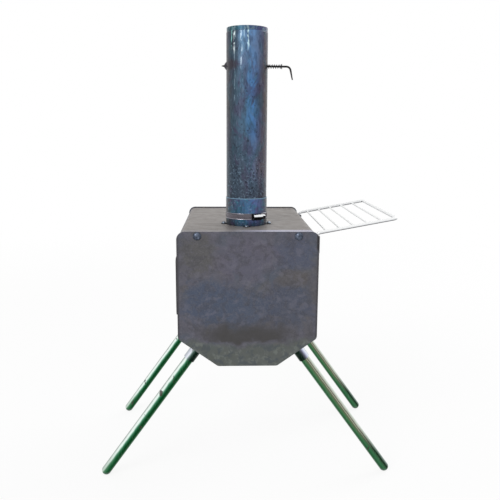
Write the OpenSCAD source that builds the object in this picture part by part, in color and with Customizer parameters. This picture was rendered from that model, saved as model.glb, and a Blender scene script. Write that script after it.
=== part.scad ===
// Small wood stove for a tent: a folded sheet steel firebox on four plug-in legs,
// with a short flue pipe, its damper, a side rack and a hinged door.
// The plain rear plate faces -Y, the door faces +Y, and the rack stands out at +X.

/* [Body] */
// Width of the end plates
body_w = 210; // [180:1:260]
// Height of the end plates
body_h = 207; // [185:1:260]
// Length of the body over both end plates
body_l = 302; // [270:1:380]
// Thickness of the end plates
plate_t = 1.5; // [1.2:0.1:2.5]
// Thickness of the folded wrap
wrap_t = 1.2; // [0.8:0.1:1.6]
// How far the end plates stand out past the wrap
plate_lip = 2; // [1:0.1:3]
// Radius of the upper corners of the end plates
corner_r = 12; // [8:0.5:16]
// Width of each lower chamfer
chamfer_w = 60; // [50:1:70]
// Height of each lower chamfer
chamfer_h = 43; // [36:1:50]
// Radius of the lower bends of the end plates
bend_r = 8; // [4:0.5:9]
// Height of the body's underside above the ground
stand_h = 199; // [150:1:240]

/* [Plate screws] */
// Distance of the plate screws from the middle of the plate
plate_screw_x = 74.5; // [66:0.5:84]
// Distance of the plate screws below the top edge of the plate
plate_screw_drop = 6.6; // [6.5:0.1:9]
// Diameter of the plate screws
plate_screw_d = 5; // [4:0.5:6]
// Diameter of the heads of the plate screws
plate_head_d = 12.5; // [10:0.5:13]
// Height of the heads of the plate screws
plate_head_h = 3.6; // [2.5:0.1:5]
// Length of the plate screws under the head
plate_screw_l = 14; // [10:1:20]
// Width of the threaded corner blocks along X
block_w = 16; // [12:1:20]
// Length of the corner blocks along Y
block_l = 9; // [7:0.5:12]
// Height of the corner blocks
block_h = 10; // [10:0.5:16]

/* [Legs] */
// Outer diameter of the leg tubes
leg_d = 15; // [12:0.5:18]
// Wall of the leg tubes
leg_wall = 1.2; // [0.8:0.1:2]
// Distance of the legs from the middle of the body along Y
leg_y = 115; // [95:1:120]
// Wall of the leg sockets
leg_socket_wall = 1.5; // [1:0.1:2.5]
// Length of the leg sockets
leg_socket_l = 30; // [22:1:40]
// How far the foot plugs reach into the legs
foot_plug_l = 12; // [8:1:20]

/* [Flue] */
// Distance of the flue's axis behind the middle of the body
flue_back = 56; // [45:1:70]
// Outer diameter of the flue pipe
flue_d = 63.5; // [55:0.5:70]
// Wall of the flue pipe
flue_wall = 1; // [0.9:0.1:1.4]
// Height of the flue pipe
flue_h = 299; // [240:1:360]
// Height of the drawn-in rim at the top of the pipe, which takes the next pipe over it
rim_h = 6.5; // [4:0.5:10]
// How far the rim is drawn in
rim_step = 0.5; // [0.4:0.05:0.8]
// Wall of the flue collar
collar_wall = 0.7; // [0.6:0.1:1.2]
// Height of the flue collar
collar_h = 43.5; // [38:0.5:60]
// Width of the slit in the collar's back
slit_w = 2; // [1.5:0.5:3]
// Length of the slit in the collar's back
slit_l = 30; // [24:1:34]
// Width of the hole in the wrap under the flue
flue_hole_d = 57; // [48:1:58]
// Reach of the collar's ears past its wall
ear_l = 7.6; // [7.5:0.1:10]
// Width of the collar's ears
ear_w = 11; // [9:0.5:14]
// Thickness of the collar's ears
ear_t = 1.2; // [1:0.1:2]
// Diameter of the collar screws
collar_screw_d = 3; // [2.5:0.5:3]
// Diameter of the heads of the collar screws
collar_head_d = 6.8; // [5.5:0.1:7]
// Height of the heads of the collar screws
collar_head_h = 2.4; // [1.6:0.1:3]
// Width over flats of the collar screws' nuts
collar_nut_w = 5.5; // [5:0.1:7]
// Height of those nuts
collar_nut_h = 2.4; // [2:0.1:3]

/* [Hose clamp] */
// Height of the middle of the clamp above the wrap
clamp_z = 15.2; // [12:0.2:18]
// Width of the clamp band
band_w = 9.5; // [8:0.5:12]
// Thickness of the clamp band
band_t = 0.7; // [0.5:0.1:1]
// Turn of the clamp's housing from the rear of the flue towards +X
clamp_turn = 26; // [20:1:40]
// Length of the clamp's housing
housing_l = 15; // [12:0.5:18]
// Height of the clamp's housing
housing_h = 10.5; // [9:0.5:12]
// Depth of the clamp's housing
housing_depth = 8; // [7.5:0.5:10]
// Diameter of the worm screw
worm_d = 4.6; // [4:0.2:5]
// Width over corners of the worm screw's head
worm_head_d = 7.4; // [6:0.2:8]
// Length of the worm screw's head
worm_head_l = 5; // [3:0.5:7]

/* [Damper] */
// Height of the damper rod above the wrap
damper_z = 244; // [215:1:250]
// Diameter of the damper rod
rod_d = 3; // [2.6:0.1:3.4]
// Length of the pointed rod end outside the pipe
point_l = 7.5; // [6:0.5:10]
// Length of the rod's straight run on the handle side, outside the pipe
crank_run = 29; // [26:0.5:34]
// Radius of the bend in the rod's handle
crank_bend_r = 6.5; // [5:0.5:9]
// Turn of the bend in the rod's handle
crank_angle = 78; // [70:1:90]
// Length of the handle below the bend
crank_l = 15; // [12:1:26]
// Diameter of the handle's tip
crank_tip_d = 1.8; // [1.5:0.1:2.4]
// Wire of the damper spring
spring_wire = 1.2; // [1:0.1:1.4]
// Outer diameter of the damper spring
spring_d = 6.8; // [6.4:0.1:7.6]
// Number of turns of the damper spring
spring_turns = 6.5; // [5:0.5:7]
// Distance between the turns of the damper spring
spring_pitch = 3; // [2.8:0.1:3.2]
// Diameter of the washer at the end of the damper spring
washer_d = 7.5; // [7:0.5:12]
// Thickness of that washer
washer_t = 1; // [0.8:0.1:1.5]
// Width of the drawn-out lip round the rod's hole
lip_d = 18; // [12:1:22]
// Height of that lip over the pipe
lip_h = 3; // [2:0.5:4]
// Width of that lip at its mouth, past the rod
lip_mouth = 2.6; // [2:0.2:4]
// Thickness of the damper plate
damper_t = 2; // [1.5:0.1:3]
// Gap between the damper plate and the pipe
damper_gap = 1.5; // [1:0.1:3]
// Outer diameter of the sleeve that carries the damper plate
sleeve_d = 8; // [6.5:0.5:10]
// Length of that sleeve
sleeve_l = 26; // [20:1:34]
// Diameter of the pins that lock the damper plate on the rod
lock_pin_d = 2; // [1.4:0.1:2]
// Distance of the lock pins from the middle of the plate
lock_pin_x = 9; // [6:0.5:9.5]

/* [Rack] */
// Diameter of the rack's frame rod
rack_rod_d = 5; // [4:0.5:6]
// Diameter of the rack's cross wires
rack_wire_d = 3; // [2.5:0.1:4]
// Length of the rack from its hooks to its outer rail
rack_w = 122; // [100:1:150]
// Distance between the middles of the rack's two arms
rack_l = 240; // [200:1:256]
// Upward tilt of the rack
rack_tilt = 10.7; // [6:0.1:14]
// Number of cross wires
rack_wires_n = 5; // [3:1:5]
// Distance from the hooks to the first cross wire
rack_first = 14; // [12:1:20]
// Distance between the cross wires
rack_step = 21.5; // [18:0.5:22]
// Radius of the rack's bends
rack_bend_r = 5; // [4.5:0.5:9]
// Depth of the rack's arms at the hooks, below the top of the end plates
rack_drop = 7; // [1:1:17]
// Wall of the rack sockets
rack_socket_wall = 1; // [0.8:0.1:2]
// Length of the rack sockets
rack_socket_l = 26; // [20:1:30]
// Depth of the foot of the rack sockets, below the top of the end plates
rack_socket_drop = 38; // [34:1:48]
// Thickness of the floor that closes each rack socket
rack_socket_floor = 1.5; // [1:0.1:3]

/* [Window] */
// Length of the window's frame along the left wall
window_l = 212; // [180:1:230]
// Height of the window's frame
window_h = 92; // [84:1:100]
// Height of the middle of the window above the middle between the chamfers and the baffle
window_lift = 5; // [2:0.5:8]
// How far the window's frame stands out from the wall
window_depth = 7.5; // [6.5:0.5:10]
// Thickness of the frame's sheet
window_sheet = 1.5; // [1:0.1:2]
// Width of the frame's face round the view
window_rim = 18; // [17:0.5:22]
// Thickness of the glass
glass_t = 4; // [3:0.5:4]
// How far the glass reaches behind the frame's face
glass_lap = 8; // [5:0.5:8]
// Diameter of the window screws
window_screw_d = 4; // [3:0.5:4]
// Diameter of the heads of the window screws
window_head_d = 7; // [6:0.5:7.5]
// Height of the heads of the window screws
window_head_h = 2.2; // [1.5:0.1:2.6]
// Distance between the window screws in a row
window_screw_step = 66; // [50:1:72]
// Width across the flats of the window nuts
window_nut_w = 7; // [6:0.5:7.5]
// Height of the window nuts
window_nut_h = 3.2; // [2.5:0.1:4]

/* [Door] */
// Width of the door
door_w = 132; // [120:1:140]
// Height of the door
door_h = 110; // [90:1:116]
// Height of the door's lower edge above the body's underside
door_z = 54; // [52:1:58]
// Thickness of the door
door_t = 2; // [1.5:0.1:3]
// Overlap of the door over the edge of its opening
door_overlap = 8; // [6:0.5:10]
// Radius of the door's corners
door_r = 10; // [9:1:16]
// Outer diameter of the hinge knuckles
knuckle_d = 8; // [7:0.5:10]
// Height of each hinge knuckle
knuckle_h = 13; // [10:1:16]
// Diameter of the hinge pins
hinge_pin_d = 4; // [3:0.5:4.5]
// Distance of the hinges from the door's upper and lower edges
hinge_inset = 12; // [10:1:16]
// Length of the hinge straps over the door
strap_l = 34; // [28:1:44]
// Thickness of the hinge straps
strap_t = 2; // [1.5:0.1:2.2]
// Diameter of the rivets in the hinge straps
rivet_d = 4; // [3:0.5:5]
// Height of the rivet heads
rivet_head_h = 2; // [1.5:0.1:3]
// Distance of the first rivet from the door's edge
rivet_first = 11; // [9:0.5:14]
// Distance between the two rivets of a strap
rivet_step = 14; // [12:0.5:16]
// Radius of the corners of the door's opening
opening_r = 6; // [4:0.5:8]

/* [Latch] */
// Distance of the latch's pivot from the door's free edge
latch_edge = 14; // [13:0.5:16]
// Thickness of the latch lever
lever_t = 3; // [2:0.1:4]
// Width of the latch lever
lever_w = 12; // [10:0.5:14]
// Reach of the latch's nose from its pivot
nose_l = 21; // [20:0.5:24]
// Length of the latch's arm below its pivot
arm_l = 40; // [34:1:46]
// Turn of the latch from where its arm hangs, open, to where its nose is behind the keeper
latch_turn = 60; // [50:1:70]
// Diameter of the latch's pivot bolt
latch_bolt_d = 5; // [4:0.5:6]
// Height of the bolt's head
latch_head_h = 3; // [2:0.1:4]
// Height of the nut on the latch's pivot bolt
latch_nut_h = 4; // [3:0.5:5]
// Gap between the latch's nose and the foot of its keeper
nose_gap = 1.5; // [1.2:0.1:3]
// Length of the latch's grip
grip_l = 48; // [40:1:60]
// Diameter of the grip's core
grip_d = 8; // [6:0.5:10]
// Wire of the grip's coil
grip_wire = 1.6; // [1.4:0.1:2]
// Distance between the turns of the grip's coil
grip_pitch = 3; // [2.8:0.1:3.4]
// Diameter of the nut at the end of the grip
grip_nut_d = 13; // [11:0.5:15]
// Height of that nut
grip_nut_h = 5; // [4:0.5:7]
// Width of the latch's keeper
keeper_w = 10; // [8:0.5:14]
// Height of the latch's keeper
keeper_h = 16; // [14:1:20]
// Reach of the keeper's lip over the latch's nose
keeper_reach = 9; // [7:0.5:9.5]
// Thickness of the keeper's lip
keeper_lip_t = 2; // [1.5:0.1:3]

/* [Air slide] */
// Height of the row of air holes above the body's underside
air_z = 31; // [29:1:33]
// Diameter of the air holes
air_hole_d = 10; // [8:0.5:10.5]
// Number of air holes
air_holes_n = 4; // [2:1:4]
// Distance between the air holes
air_step = 24; // [22:1:26]
// Height of the air slide
slide_h = 19; // [16:0.5:20]
// Thickness of the air slide
slide_t = 1.5; // [1:0.1:2]
// Length of the air slide
slide_l = 112; // [106:1:116]
// Length of the slide's guides
guide_l = 96; // [80:1:100]
// Width of the foot of each guide
guide_foot = 3; // [2.5:0.1:4]
// Thickness of each guide's lip
guide_lip_t = 1.2; // [1:0.1:2]
// How far each guide's lip reaches over the slide
guide_over = 2; // [1.5:0.1:2.5]
// Diameter of the slide's knob
knob_d = 8; // [6:0.5:9]
// Height of the slide's knob
knob_h = 9; // [6:0.5:12]
// Diameter of the knob's neck
knob_neck_d = 5; // [4:0.5:6]
// Height of the knob's cap
knob_cap_h = 3; // [2:0.5:5]
// Distance of the knob from the middle of the slide
knob_x = 42; // [34:1:46]

/* [Inside] */
// Height of the grate above the body's underside
grate_z = 40; // [36:1:41]
// Thickness of the grate
grate_t = 2; // [1.5:0.1:3]
// Gap between the ends of the grate and the end plates
grate_gap = 7.5; // [3:0.5:20]
// Number of slots along the grate
grate_slots_n = 11; // [5:1:12]
// Width of each grate slot
grate_slot_w = 7; // [5:0.5:9]
// Solid rim at the ends of the grate slots
grate_rim = 18; // [10:1:22]
// Depth of the baffle below the wrap's top
baffle_drop = 35; // [29:1:39]
// Thickness of the baffle
baffle_t = 1.2; // [1:0.1:2]
// Length of the baffle along the body
baffle_l = 120; // [90:1:130]
// Height of the baffle's side flanges
baffle_flange_h = 14; // [10:1:16]

/* [Fits] */
// Gap between pieces that move past each other
move_gap = 0.3; // [0.2:0.05:0.5]
// Radial clearance of pins, rods and tubes that turn or slide in a bore
run_gap = 0.08; // [0.04:0.01:0.1]
// Radial clearance of screws and rivets in their holes
screw_gap = 0.15; // [0.1:0.05:0.25]

/* [Hidden] */
$fn = 48;
// Small step past a face, so that a cut goes clean through
over = 0.5;
// Length of a bolt's end past its nut
bolt_tail = 1;
// Rings in each turn of a coil
coil_rings = 8;
// Largest angle between two flats of a rounded corner of a sheet
corner_step = 7.5;
// How far a bend runs into the straight rods at its ends, and how much thinner in radius it is
bend_lap = 0.3;
bend_step = 0.02;

// Body
wrap_top = body_h - plate_lip;
wrap_in = plate_lip + wrap_t;
slope_l = norm([chamfer_w, chamfer_h]);
lean = atan2(chamfer_h, chamfer_w);
rear_y = -body_l / 2;
front_y = body_l / 2;
plate_screw_z = body_h - plate_screw_drop;
rear_head_y = rear_y - plate_head_h;
grate_l = body_l - 2 * (plate_t + grate_gap);
baffle_z = wrap_top - baffle_drop;

// Legs
leg_bore_r = leg_d / 2 + run_gap;
leg_root = chamfer_middle(plate_lip);
leg_l = (leg_root.y + stand_h - leg_d / 2) / cos(lean);
foot_x = leg_root.x + leg_l * sin(lean) + leg_d / 2;

// Flue
flue_r = flue_d / 2;
flue_bore_r = flue_r - flue_wall;
collar_r = flue_r + run_gap;
collar_out_r = collar_r + collar_wall;
ear_screw_r = collar_out_r + collar_head_d / 2 + move_gap;
band_in_r = collar_out_r + screw_gap;
band_out_r = band_in_r + band_t;
worm_y = band_out_r + housing_depth / 2;

// Damper
damper_r = flue_bore_r - damper_gap;
spring_r = (spring_d - spring_wire) / 2;
spring_start = flue_r + spring_wire / 2 + move_gap;
washer_x = spring_start + spring_turns * spring_pitch + spring_wire / 2 + run_gap;

// Rack
rack_z = body_h - rack_drop;
rack_socket_z = body_h - rack_socket_drop;
rack_hook_x = body_w / 2 - plate_lip + rack_rod_d / 2 + run_gap + rack_socket_wall;
rack_out_x = rack_hook_x + rack_w * cos(rack_tilt) + rack_rod_d / 2;
hook_l = rack_z - rack_socket_z - rack_socket_floor - move_gap;

// Window: height of its middle, corner radii of its frame, view and glass, and its screws' rows
window_z = (chamfer_side_z(plate_lip) + baffle_z) / 2 + window_lift;
wall_x = body_w / 2 - plate_lip;
window_r = 8;
view_r = 4;
glass_r = 2;
window_screw_z = (window_h - window_sheet - window_rim + glass_lap) / 2;

// Door and latch, as distances in front of the front plate
door_in = move_gap;
door_out = door_in + door_t;
door_mid_z = door_z + door_h / 2;
hinge_x = -(door_w / 2 + knuckle_d / 2 + 1);
hinge_y = knuckle_d / 2;
latch_x = door_w / 2 - latch_edge;
lever_in = door_out + move_gap;
lever_out = lever_in + lever_t;
coil_r = (grip_d / 2 + run_gap + grip_wire / 2) / cos(180 / coil_rings);
coil_turns = floor((grip_l - 2 * grip_wire) / grip_pitch);
grip_end = lever_out + grip_l;
grip_out = grip_end + grip_nut_h;

// Middle of the whole object's box
mid_x = (max(foot_x, rack_out_x) - foot_x) / 2;
mid_y = (front_y + grip_out + rear_head_y) / 2;

// Corner points of the body's outline, drawn in by inset
function outline(inset) = [
    [-chamfer_low_x(inset), inset], [chamfer_low_x(inset), inset],
    [body_w / 2 - inset, chamfer_side_z(inset)], [body_w / 2 - inset, body_h - inset],
    [inset - body_w / 2, body_h - inset], [inset - body_w / 2, chamfer_side_z(inset)]];

// Height where the chamfer meets the side, at an inset
function chamfer_side_z(inset) = chamfer_h + inset * (slope_l - chamfer_h) / chamfer_w;

// Half width where the chamfer meets the underside, at an inset
function chamfer_low_x(inset) = body_w / 2 - chamfer_w - inset * (slope_l - chamfer_w) / chamfer_h;

// Half width of the chamfer at a height, at an inset
function chamfer_x(z, inset) = chamfer_low_x(inset) + (z - inset) * chamfer_w / chamfer_h;

// Middle of the chamfer at an inset, as X and Z
function chamfer_middle(inset) = ([chamfer_low_x(inset), inset]
    + [body_w / 2 - inset, chamfer_side_z(inset)]) / 2;

// Point turned by an angle round the origin
function turned(p, angle) = [p.x * cos(angle) - p.y * sin(angle), p.x * sin(angle) + p.y * cos(angle)];

// Points along a corner that is rounded with radius r
function corner(before, at, after, r) = let(
    u = (before - at) / norm(before - at),
    v = (after - at) / norm(after - at),
    half = acos(u * v) / 2,
    centre = at + (u + v) / norm(u + v) * r / sin(half),
    start = at + u * r / tan(half) - centre,
    turn = 180 - 2 * half,
    n = ceil(turn / corner_step))
    [for (i = [0 : n]) centre + turned(start, turn * i / n)];

// Convex outline with rounded corners
module rounded(points, radii) {
    n = len(points);
    polygon([for (i = [0 : n - 1])
        each corner(points[(i + n - 1) % n], points[i], points[(i + 1) % n], radii[i])]);
}

// Rectangle with rounded corners, from its middle
module rounded_box(w, h, r) {
    rounded([[-w / 2, -h / 2], [w / 2, -h / 2], [w / 2, h / 2], [-w / 2, h / 2]], [r, r, r, r]);
}

// The body's outline as a face, drawn in by inset
module body_face(inset) {
    low = bend_r - inset;
    high = corner_r - inset;
    rounded(outline(inset), [low, low, low, high, high, low]);
}

// Children in the plane of X and Z, made solid from y0 to y1
module along_y(y0, y1) {
    translate([0, y1, 0])
        rotate([90, 0, 0])
            linear_extrude(y1 - y0)
                children();
}

// A round bar along Y from y0 to y1
module bar_y(d, y0, y1) {
    translate([0, y1, 0])
        rotate([90, 0, 0])
            cylinder(d = d, h = y1 - y0);
}

// Bend in a round rod: it starts at [radius, 0] towards +Y, and laps into the rod at both ends
module bend(radius, d, angle) {
    lap = bend_lap / radius * 180 / PI;
    rotate([0, 0, -lap])
        rotate_extrude(angle = angle + 2 * lap)
            translate([radius, 0])
                circle(d = d - 2 * bend_step);
}

// Low dome on a flat foot, upwards from the origin
module dome(d, h) {
    ball_r = (d * d / 4 + h * h) / (2 * h);
    intersection() {
        translate([0, 0, h - ball_r])
            sphere(r = ball_r);
        cylinder(d = d, h = h);
    }
}

// Slotted round-head screw: the head upwards from the origin, the shank below it
module slotted_screw(d, l, head_d, head_h) {
    slot_w = head_d * 0.14;
    difference() {
        dome(head_d, head_h);
        translate([-head_d, -slot_w / 2, head_h * 0.55])
            cube([head_d * 2, slot_w, head_h]);
    }
    translate([0, 0, -l])
        cylinder(d = d, h = l);
}

// Hexagon nut with its bore, upwards from the origin
module nut(width, h, d) {
    difference() {
        cylinder(d = width / cos(30), h = h, $fn = 6);
        translate([0, 0, -over])
            cylinder(d = d, h = h + 2 * over);
    }
}

// Puts the stove with the middle of its box over the origin and its feet on the ground
module placed() {
    translate([-mid_x, -mid_y, stand_h])
        children();
}

// Children at the root of one leg, with +Z along the leg and away from the body
module at_leg(side, end) {
    mirror([side < 0 ? 1 : 0, 0, 0])
        translate([leg_root.x, end * leg_y, leg_root.y])
            rotate([0, 180 - lean, 0])
                children();
}

// Children with the flue's axis as Z and the wrap's top as the ground
module at_flue() {
    translate([0, -flue_back, wrap_top])
        children();
}

// Children round the flue, at the four ears
module at_ears() {
    for (turn = [0 : 90 : 270])
        rotate([0, 0, turn])
            children();
}

// Children at the hose clamp's housing, with +X along its screw
module at_clamp() {
    at_flue()
        translate([0, 0, clamp_z])
            rotate([0, 0, clamp_turn])
                children();
}

// Children with +X along the damper rod and its origin on the flue's axis
module at_damper() {
    at_flue()
        translate([0, 0, damper_z])
            children();
}

// Children at both rack hooks
module at_hooks() {
    for (end = [-1, 1])
        translate([rack_hook_x, end * rack_l / 2, 0])
            children();
}

// Children at the middle of the window on the left wall, with +Z outwards and +Y up
module at_window() {
    translate([-wall_x, 0, window_z])
        rotate([90, 0, -90])
            children();
}

// Children at the window screws, on the wall's outer face
module at_window_screws() {
    for (i = [-1, 0, 1], side = [-1, 1])
        translate([i * window_screw_step, side * window_screw_z, 0])
            children();
}

// Window outline drawn in by inset, with corners of radius r
module window_outline(inset, r) {
    rounded_box(window_l - 2 * inset, window_h - 2 * inset, r);
}

// Children in the tilted plane of the rack, with +X outwards from the hooks
module at_rack() {
    translate([rack_hook_x, 0, rack_z])
        rotate([0, -rack_tilt, 0])
            children();
}

// Children on the outer face of the front plate
module at_front() {
    translate([0, front_y, 0])
        children();
}

// Children at the four plate screws, with +Z outwards through the plate
module at_plate_screws(end) {
    for (side = [-1, 1])
        translate([side * plate_screw_x, end * body_l / 2, plate_screw_z])
            rotate([-90 * end, 0, 0])
                children();
}

// The folded sheet that forms the top, the sides, the chamfers and the underside
module body_wrap() {
    color("#8b8680")
        placed()
            difference() {
                along_y(rear_y + plate_t, front_y - plate_t)
                    difference() {
                        body_face(plate_lip);
                        body_face(wrap_in);
                    }
                at_flue() {
                    translate([0, 0, -wrap_t - over])
                        cylinder(d = flue_hole_d, h = wrap_t + 2 * over);
                    at_ears()
                        translate([ear_screw_r, 0, -wrap_t - over])
                            cylinder(d = collar_screw_d + 2 * screw_gap, h = wrap_t + 2 * over);
                }
                at_window()
                    translate([0, 0, -wrap_t - over]) {
                        linear_extrude(wrap_t + 2 * over)
                            window_outline(window_rim, view_r);
                        at_window_screws()
                            cylinder(d = window_screw_d + 2 * screw_gap, h = wrap_t + 2 * over);
                    }
            }
}

// Flat rear plate with its two screw holes
module rear_plate() {
    color("#565560")
        placed()
            difference() {
                along_y(rear_y, rear_y + plate_t)
                    body_face(0);
                at_plate_screws(-1)
                    translate([0, 0, -plate_t - over])
                        cylinder(d = plate_screw_d + 2 * screw_gap, h = plate_t + 2 * over);
            }
}

// Front plate with the door's opening, the air holes and its two screw holes
module front_plate() {
    color("#565560")
        placed()
            difference() {
                along_y(front_y - plate_t, front_y)
                    body_face(0);
                translate([0, 0, door_mid_z])
                    along_y(front_y - plate_t - over, front_y + over)
                        rounded_box(door_w - 2 * door_overlap, door_h - 2 * door_overlap, opening_r);
                for (i = [0 : air_holes_n - 1])
                    translate([(i - (air_holes_n - 1) / 2) * air_step, 0, air_z])
                        bar_y(air_hole_d, front_y - plate_t - over, front_y + over);
                at_plate_screws(1)
                    translate([0, 0, -plate_t - over])
                        cylinder(d = plate_screw_d + 2 * screw_gap, h = plate_t + 2 * over);
            }
}

// Four threaded blocks, welded under the top of the wrap against the end plates
module corner_blocks() {
    color("#6a6763")
        placed()
            for (end = [-1, 1])
                difference() {
                    for (side = [-1, 1])
                        translate([side * plate_screw_x - block_w / 2,
                            end * (body_l / 2 - plate_t - block_l / 2) - block_l / 2,
                            body_h - wrap_in - block_h])
                            cube([block_w, block_l, block_h]);
                    at_plate_screws(end)
                        translate([0, 0, -plate_t - block_l - over])
                            cylinder(d = plate_screw_d + 2 * screw_gap, h = block_l + plate_t + over);
                }
}

// Screws of one end plate
module plate_screws(end) {
    color("#4d5570")
        placed()
            at_plate_screws(end)
                rotate([0, 0, 90])
                    slotted_screw(plate_screw_d, plate_screw_l, plate_head_d, plate_head_h);
}

// Four short tubes on the chamfers, which take the legs
module leg_sockets() {
    color("#b9bcb8")
        placed()
            for (side = [-1, 1], end = [-1, 1])
                at_leg(side, end)
                    difference() {
                        cylinder(r = leg_bore_r + leg_socket_wall, h = leg_socket_l);
                        translate([0, 0, -over])
                            cylinder(r = leg_bore_r, h = leg_socket_l + 2 * over);
                    }
}

// Plug-in leg tube
module leg(side, end) {
    color("#cfd3d0")
        placed()
            at_leg(side, end)
                translate([0, 0, move_gap])
                    difference() {
                        cylinder(d = leg_d, h = leg_l - move_gap);
                        translate([0, 0, -over])
                            cylinder(d = leg_d - 2 * leg_wall, h = leg_l + over);
                    }
}

// Domed plug that closes the foot of a leg
module foot(side, end) {
    color("#c2c6c4")
        placed()
            at_leg(side, end)
                translate([0, 0, leg_l]) {
                    difference() {
                        sphere(d = leg_d);
                        translate([-leg_d, -leg_d, -2 * leg_d])
                            cube(2 * leg_d);
                    }
                    translate([0, 0, -foot_plug_l])
                        cylinder(r = leg_d / 2 - leg_wall - run_gap, h = foot_plug_l);
                }
}

// Two upright tubes on the right wall, closed at the foot, which take the hooks of the rack
module rack_sockets() {
    color("#5e5d5c")
        placed()
            at_hooks()
                translate([0, 0, rack_socket_z])
                    difference() {
                        cylinder(r = rack_rod_d / 2 + run_gap + rack_socket_wall, h = rack_socket_l);
                        translate([0, 0, rack_socket_floor])
                            cylinder(r = rack_rod_d / 2 + run_gap, h = rack_socket_l);
                    }
}

// Folded frame of the window: a tray whose face holds the glass from outside
module window_frame() {
    color("#5f5f62")
        placed()
            at_window()
                difference() {
                    linear_extrude(window_depth)
                        window_outline(0, window_r);
                    translate([0, 0, -over])
                        linear_extrude(window_depth - window_sheet + over)
                            window_outline(window_sheet, window_r - window_sheet);
                    linear_extrude(window_depth + over)
                        window_outline(window_rim, view_r);
                    at_window_screws()
                        cylinder(d = window_screw_d + 2 * screw_gap, h = window_depth + over);
                }
}

// Pane of heat-proof glass, held between the gasket and the frame's face
module window_glass() {
    color("#9a8f7c", 0.5)
        placed()
            at_window()
                translate([0, 0, window_depth - window_sheet - glass_t])
                    linear_extrude(glass_t)
                        window_outline(window_rim - glass_lap, glass_r);
}

// Flat rope gasket between the wall and the glass
module window_gasket() {
    color("#d4cfc4")
        placed()
            at_window()
                linear_extrude(window_depth - window_sheet - glass_t)
                    difference() {
                        window_outline(window_rim - glass_lap, glass_r);
                        window_outline(window_rim, view_r);
                    }
}

// Screws through the frame's face and the wall
module window_screws() {
    reach = window_depth + wrap_t + window_nut_h + bolt_tail;
    color("#9aa0a8")
        placed()
            at_window()
                at_window_screws()
                    translate([0, 0, window_depth])
                        slotted_screw(window_screw_d, reach, window_head_d, window_head_h);
}

// Nuts of the window screws, inside the firebox
module window_nuts() {
    color("#8f959c")
        placed()
            at_window()
                at_window_screws()
                    translate([0, 0, -wrap_t - window_nut_h])
                        nut(window_nut_w, window_nut_h, window_screw_d + 2 * screw_gap);
}

// Rod of the rack: two hooks, two arms and the outer rail
module rack_frame() {
    corner_half = (90 + rack_tilt) / 2;
    run = rack_bend_r / tan(corner_half);
    arm_l = rack_w - rack_bend_r - run;
    color("#dcdedd")
        placed() {
            at_hooks() {
                translate([0, 0, rack_z - hook_l])
                    cylinder(d = rack_rod_d, h = hook_l - run);
                translate([rack_bend_r, 0, rack_z - run])
                    rotate([90, 0, 180])
                        bend(rack_bend_r, rack_rod_d, 90 - rack_tilt);
            }
            at_rack() {
                for (end = [-1, 1])
                    translate([run, end * rack_l / 2, 0])
                        rotate([0, 90, 0])
                            cylinder(d = rack_rod_d, h = arm_l);
                for (end = [-1, 1])
                    translate([rack_w - rack_bend_r, end * (rack_l / 2 - rack_bend_r), 0])
                        rotate([0, 0, end < 0 ? -90 : 0])
                            bend(rack_bend_r, rack_rod_d, 90);
                translate([rack_w, 0, 0])
                    bar_y(rack_rod_d, rack_bend_r - rack_l / 2, rack_l / 2 - rack_bend_r);
            }
        }
}

// Cross wires of the rack, welded between its arms
module rack_wires() {
    reach = (rack_l - rack_rod_d) / 2;
    color("#e4e6e5")
        placed()
            at_rack()
                for (i = [0 : rack_wires_n - 1])
                    translate([rack_first + i * rack_step, 0, 0])
                        bar_y(rack_wire_d, -reach, reach);
}

// Slotted grate, which lies between the chamfers
module grate() {
    half_w = chamfer_x(grate_z, wrap_in) - move_gap;
    slot_l = half_w - 2 * grate_rim;
    step = grate_l / (grate_slots_n + 1);
    color("#4c4a48")
        placed()
            difference() {
                translate([-half_w, -grate_l / 2, grate_z])
                    cube([2 * half_w, grate_l, grate_t]);
                for (i = [1 : grate_slots_n], row = [-1, 1])
                    translate([row * half_w / 2 - slot_l / 2,
                        i * step - grate_l / 2 - grate_slot_w / 2, grate_z - over])
                        cube([slot_l, grate_slot_w, grate_t + 2 * over]);
            }
}

// Heat baffle under the flue, welded to the side walls by its flanges
module baffle() {
    half_w = body_w / 2 - wrap_in;
    color("#514e4b")
        placed()
            translate([-half_w, -flue_back - baffle_l / 2, baffle_z]) {
                cube([2 * half_w, baffle_l, baffle_t]);
                for (x = [0, 2 * half_w - baffle_t])
                    translate([x, 0, 0])
                        cube([baffle_t, baffle_l, baffle_flange_h]);
            }
}

// Collar that takes the flue pipe, with four ears screwed to the wrap
module flue_collar() {
    color("#46688f")
        placed()
            at_flue()
                difference() {
                    union() {
                        cylinder(r = collar_out_r, h = collar_h, $fn = 96);
                        at_ears() {
                            translate([0, -ear_w / 2, 0])
                                cube([collar_out_r + ear_l - ear_w / 2, ear_w, ear_t]);
                            translate([collar_out_r + ear_l - ear_w / 2, 0, 0])
                                cylinder(d = ear_w, h = ear_t);
                        }
                    }
                    translate([0, 0, -over])
                        cylinder(r = collar_r, h = collar_h + 2 * over, $fn = 96);
                    at_ears()
                        translate([ear_screw_r, 0, -over])
                            cylinder(d = collar_screw_d + 2 * screw_gap, h = ear_t + 2 * over);
                    translate([-slit_w / 2, 0, collar_h - slit_l])
                        cube([slit_w, collar_out_r + over, slit_l + over]);
                }
}

// Screws through the four ears
module collar_screws() {
    color("#8f98a6")
        placed()
            at_flue()
                at_ears()
                    translate([ear_screw_r, 0, ear_t])
                        slotted_screw(collar_screw_d, ear_t + wrap_t + collar_nut_h + bolt_tail,
                            collar_head_d, collar_head_h);
}

// Nuts under the wrap for the ear screws
module collar_nuts() {
    color("#7d7b78")
        placed()
            at_flue()
                at_ears()
                    translate([ear_screw_r, 0, -wrap_t - collar_nut_h])
                        nut(collar_nut_w, collar_nut_h, collar_screw_d + 2 * screw_gap);
}

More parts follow.
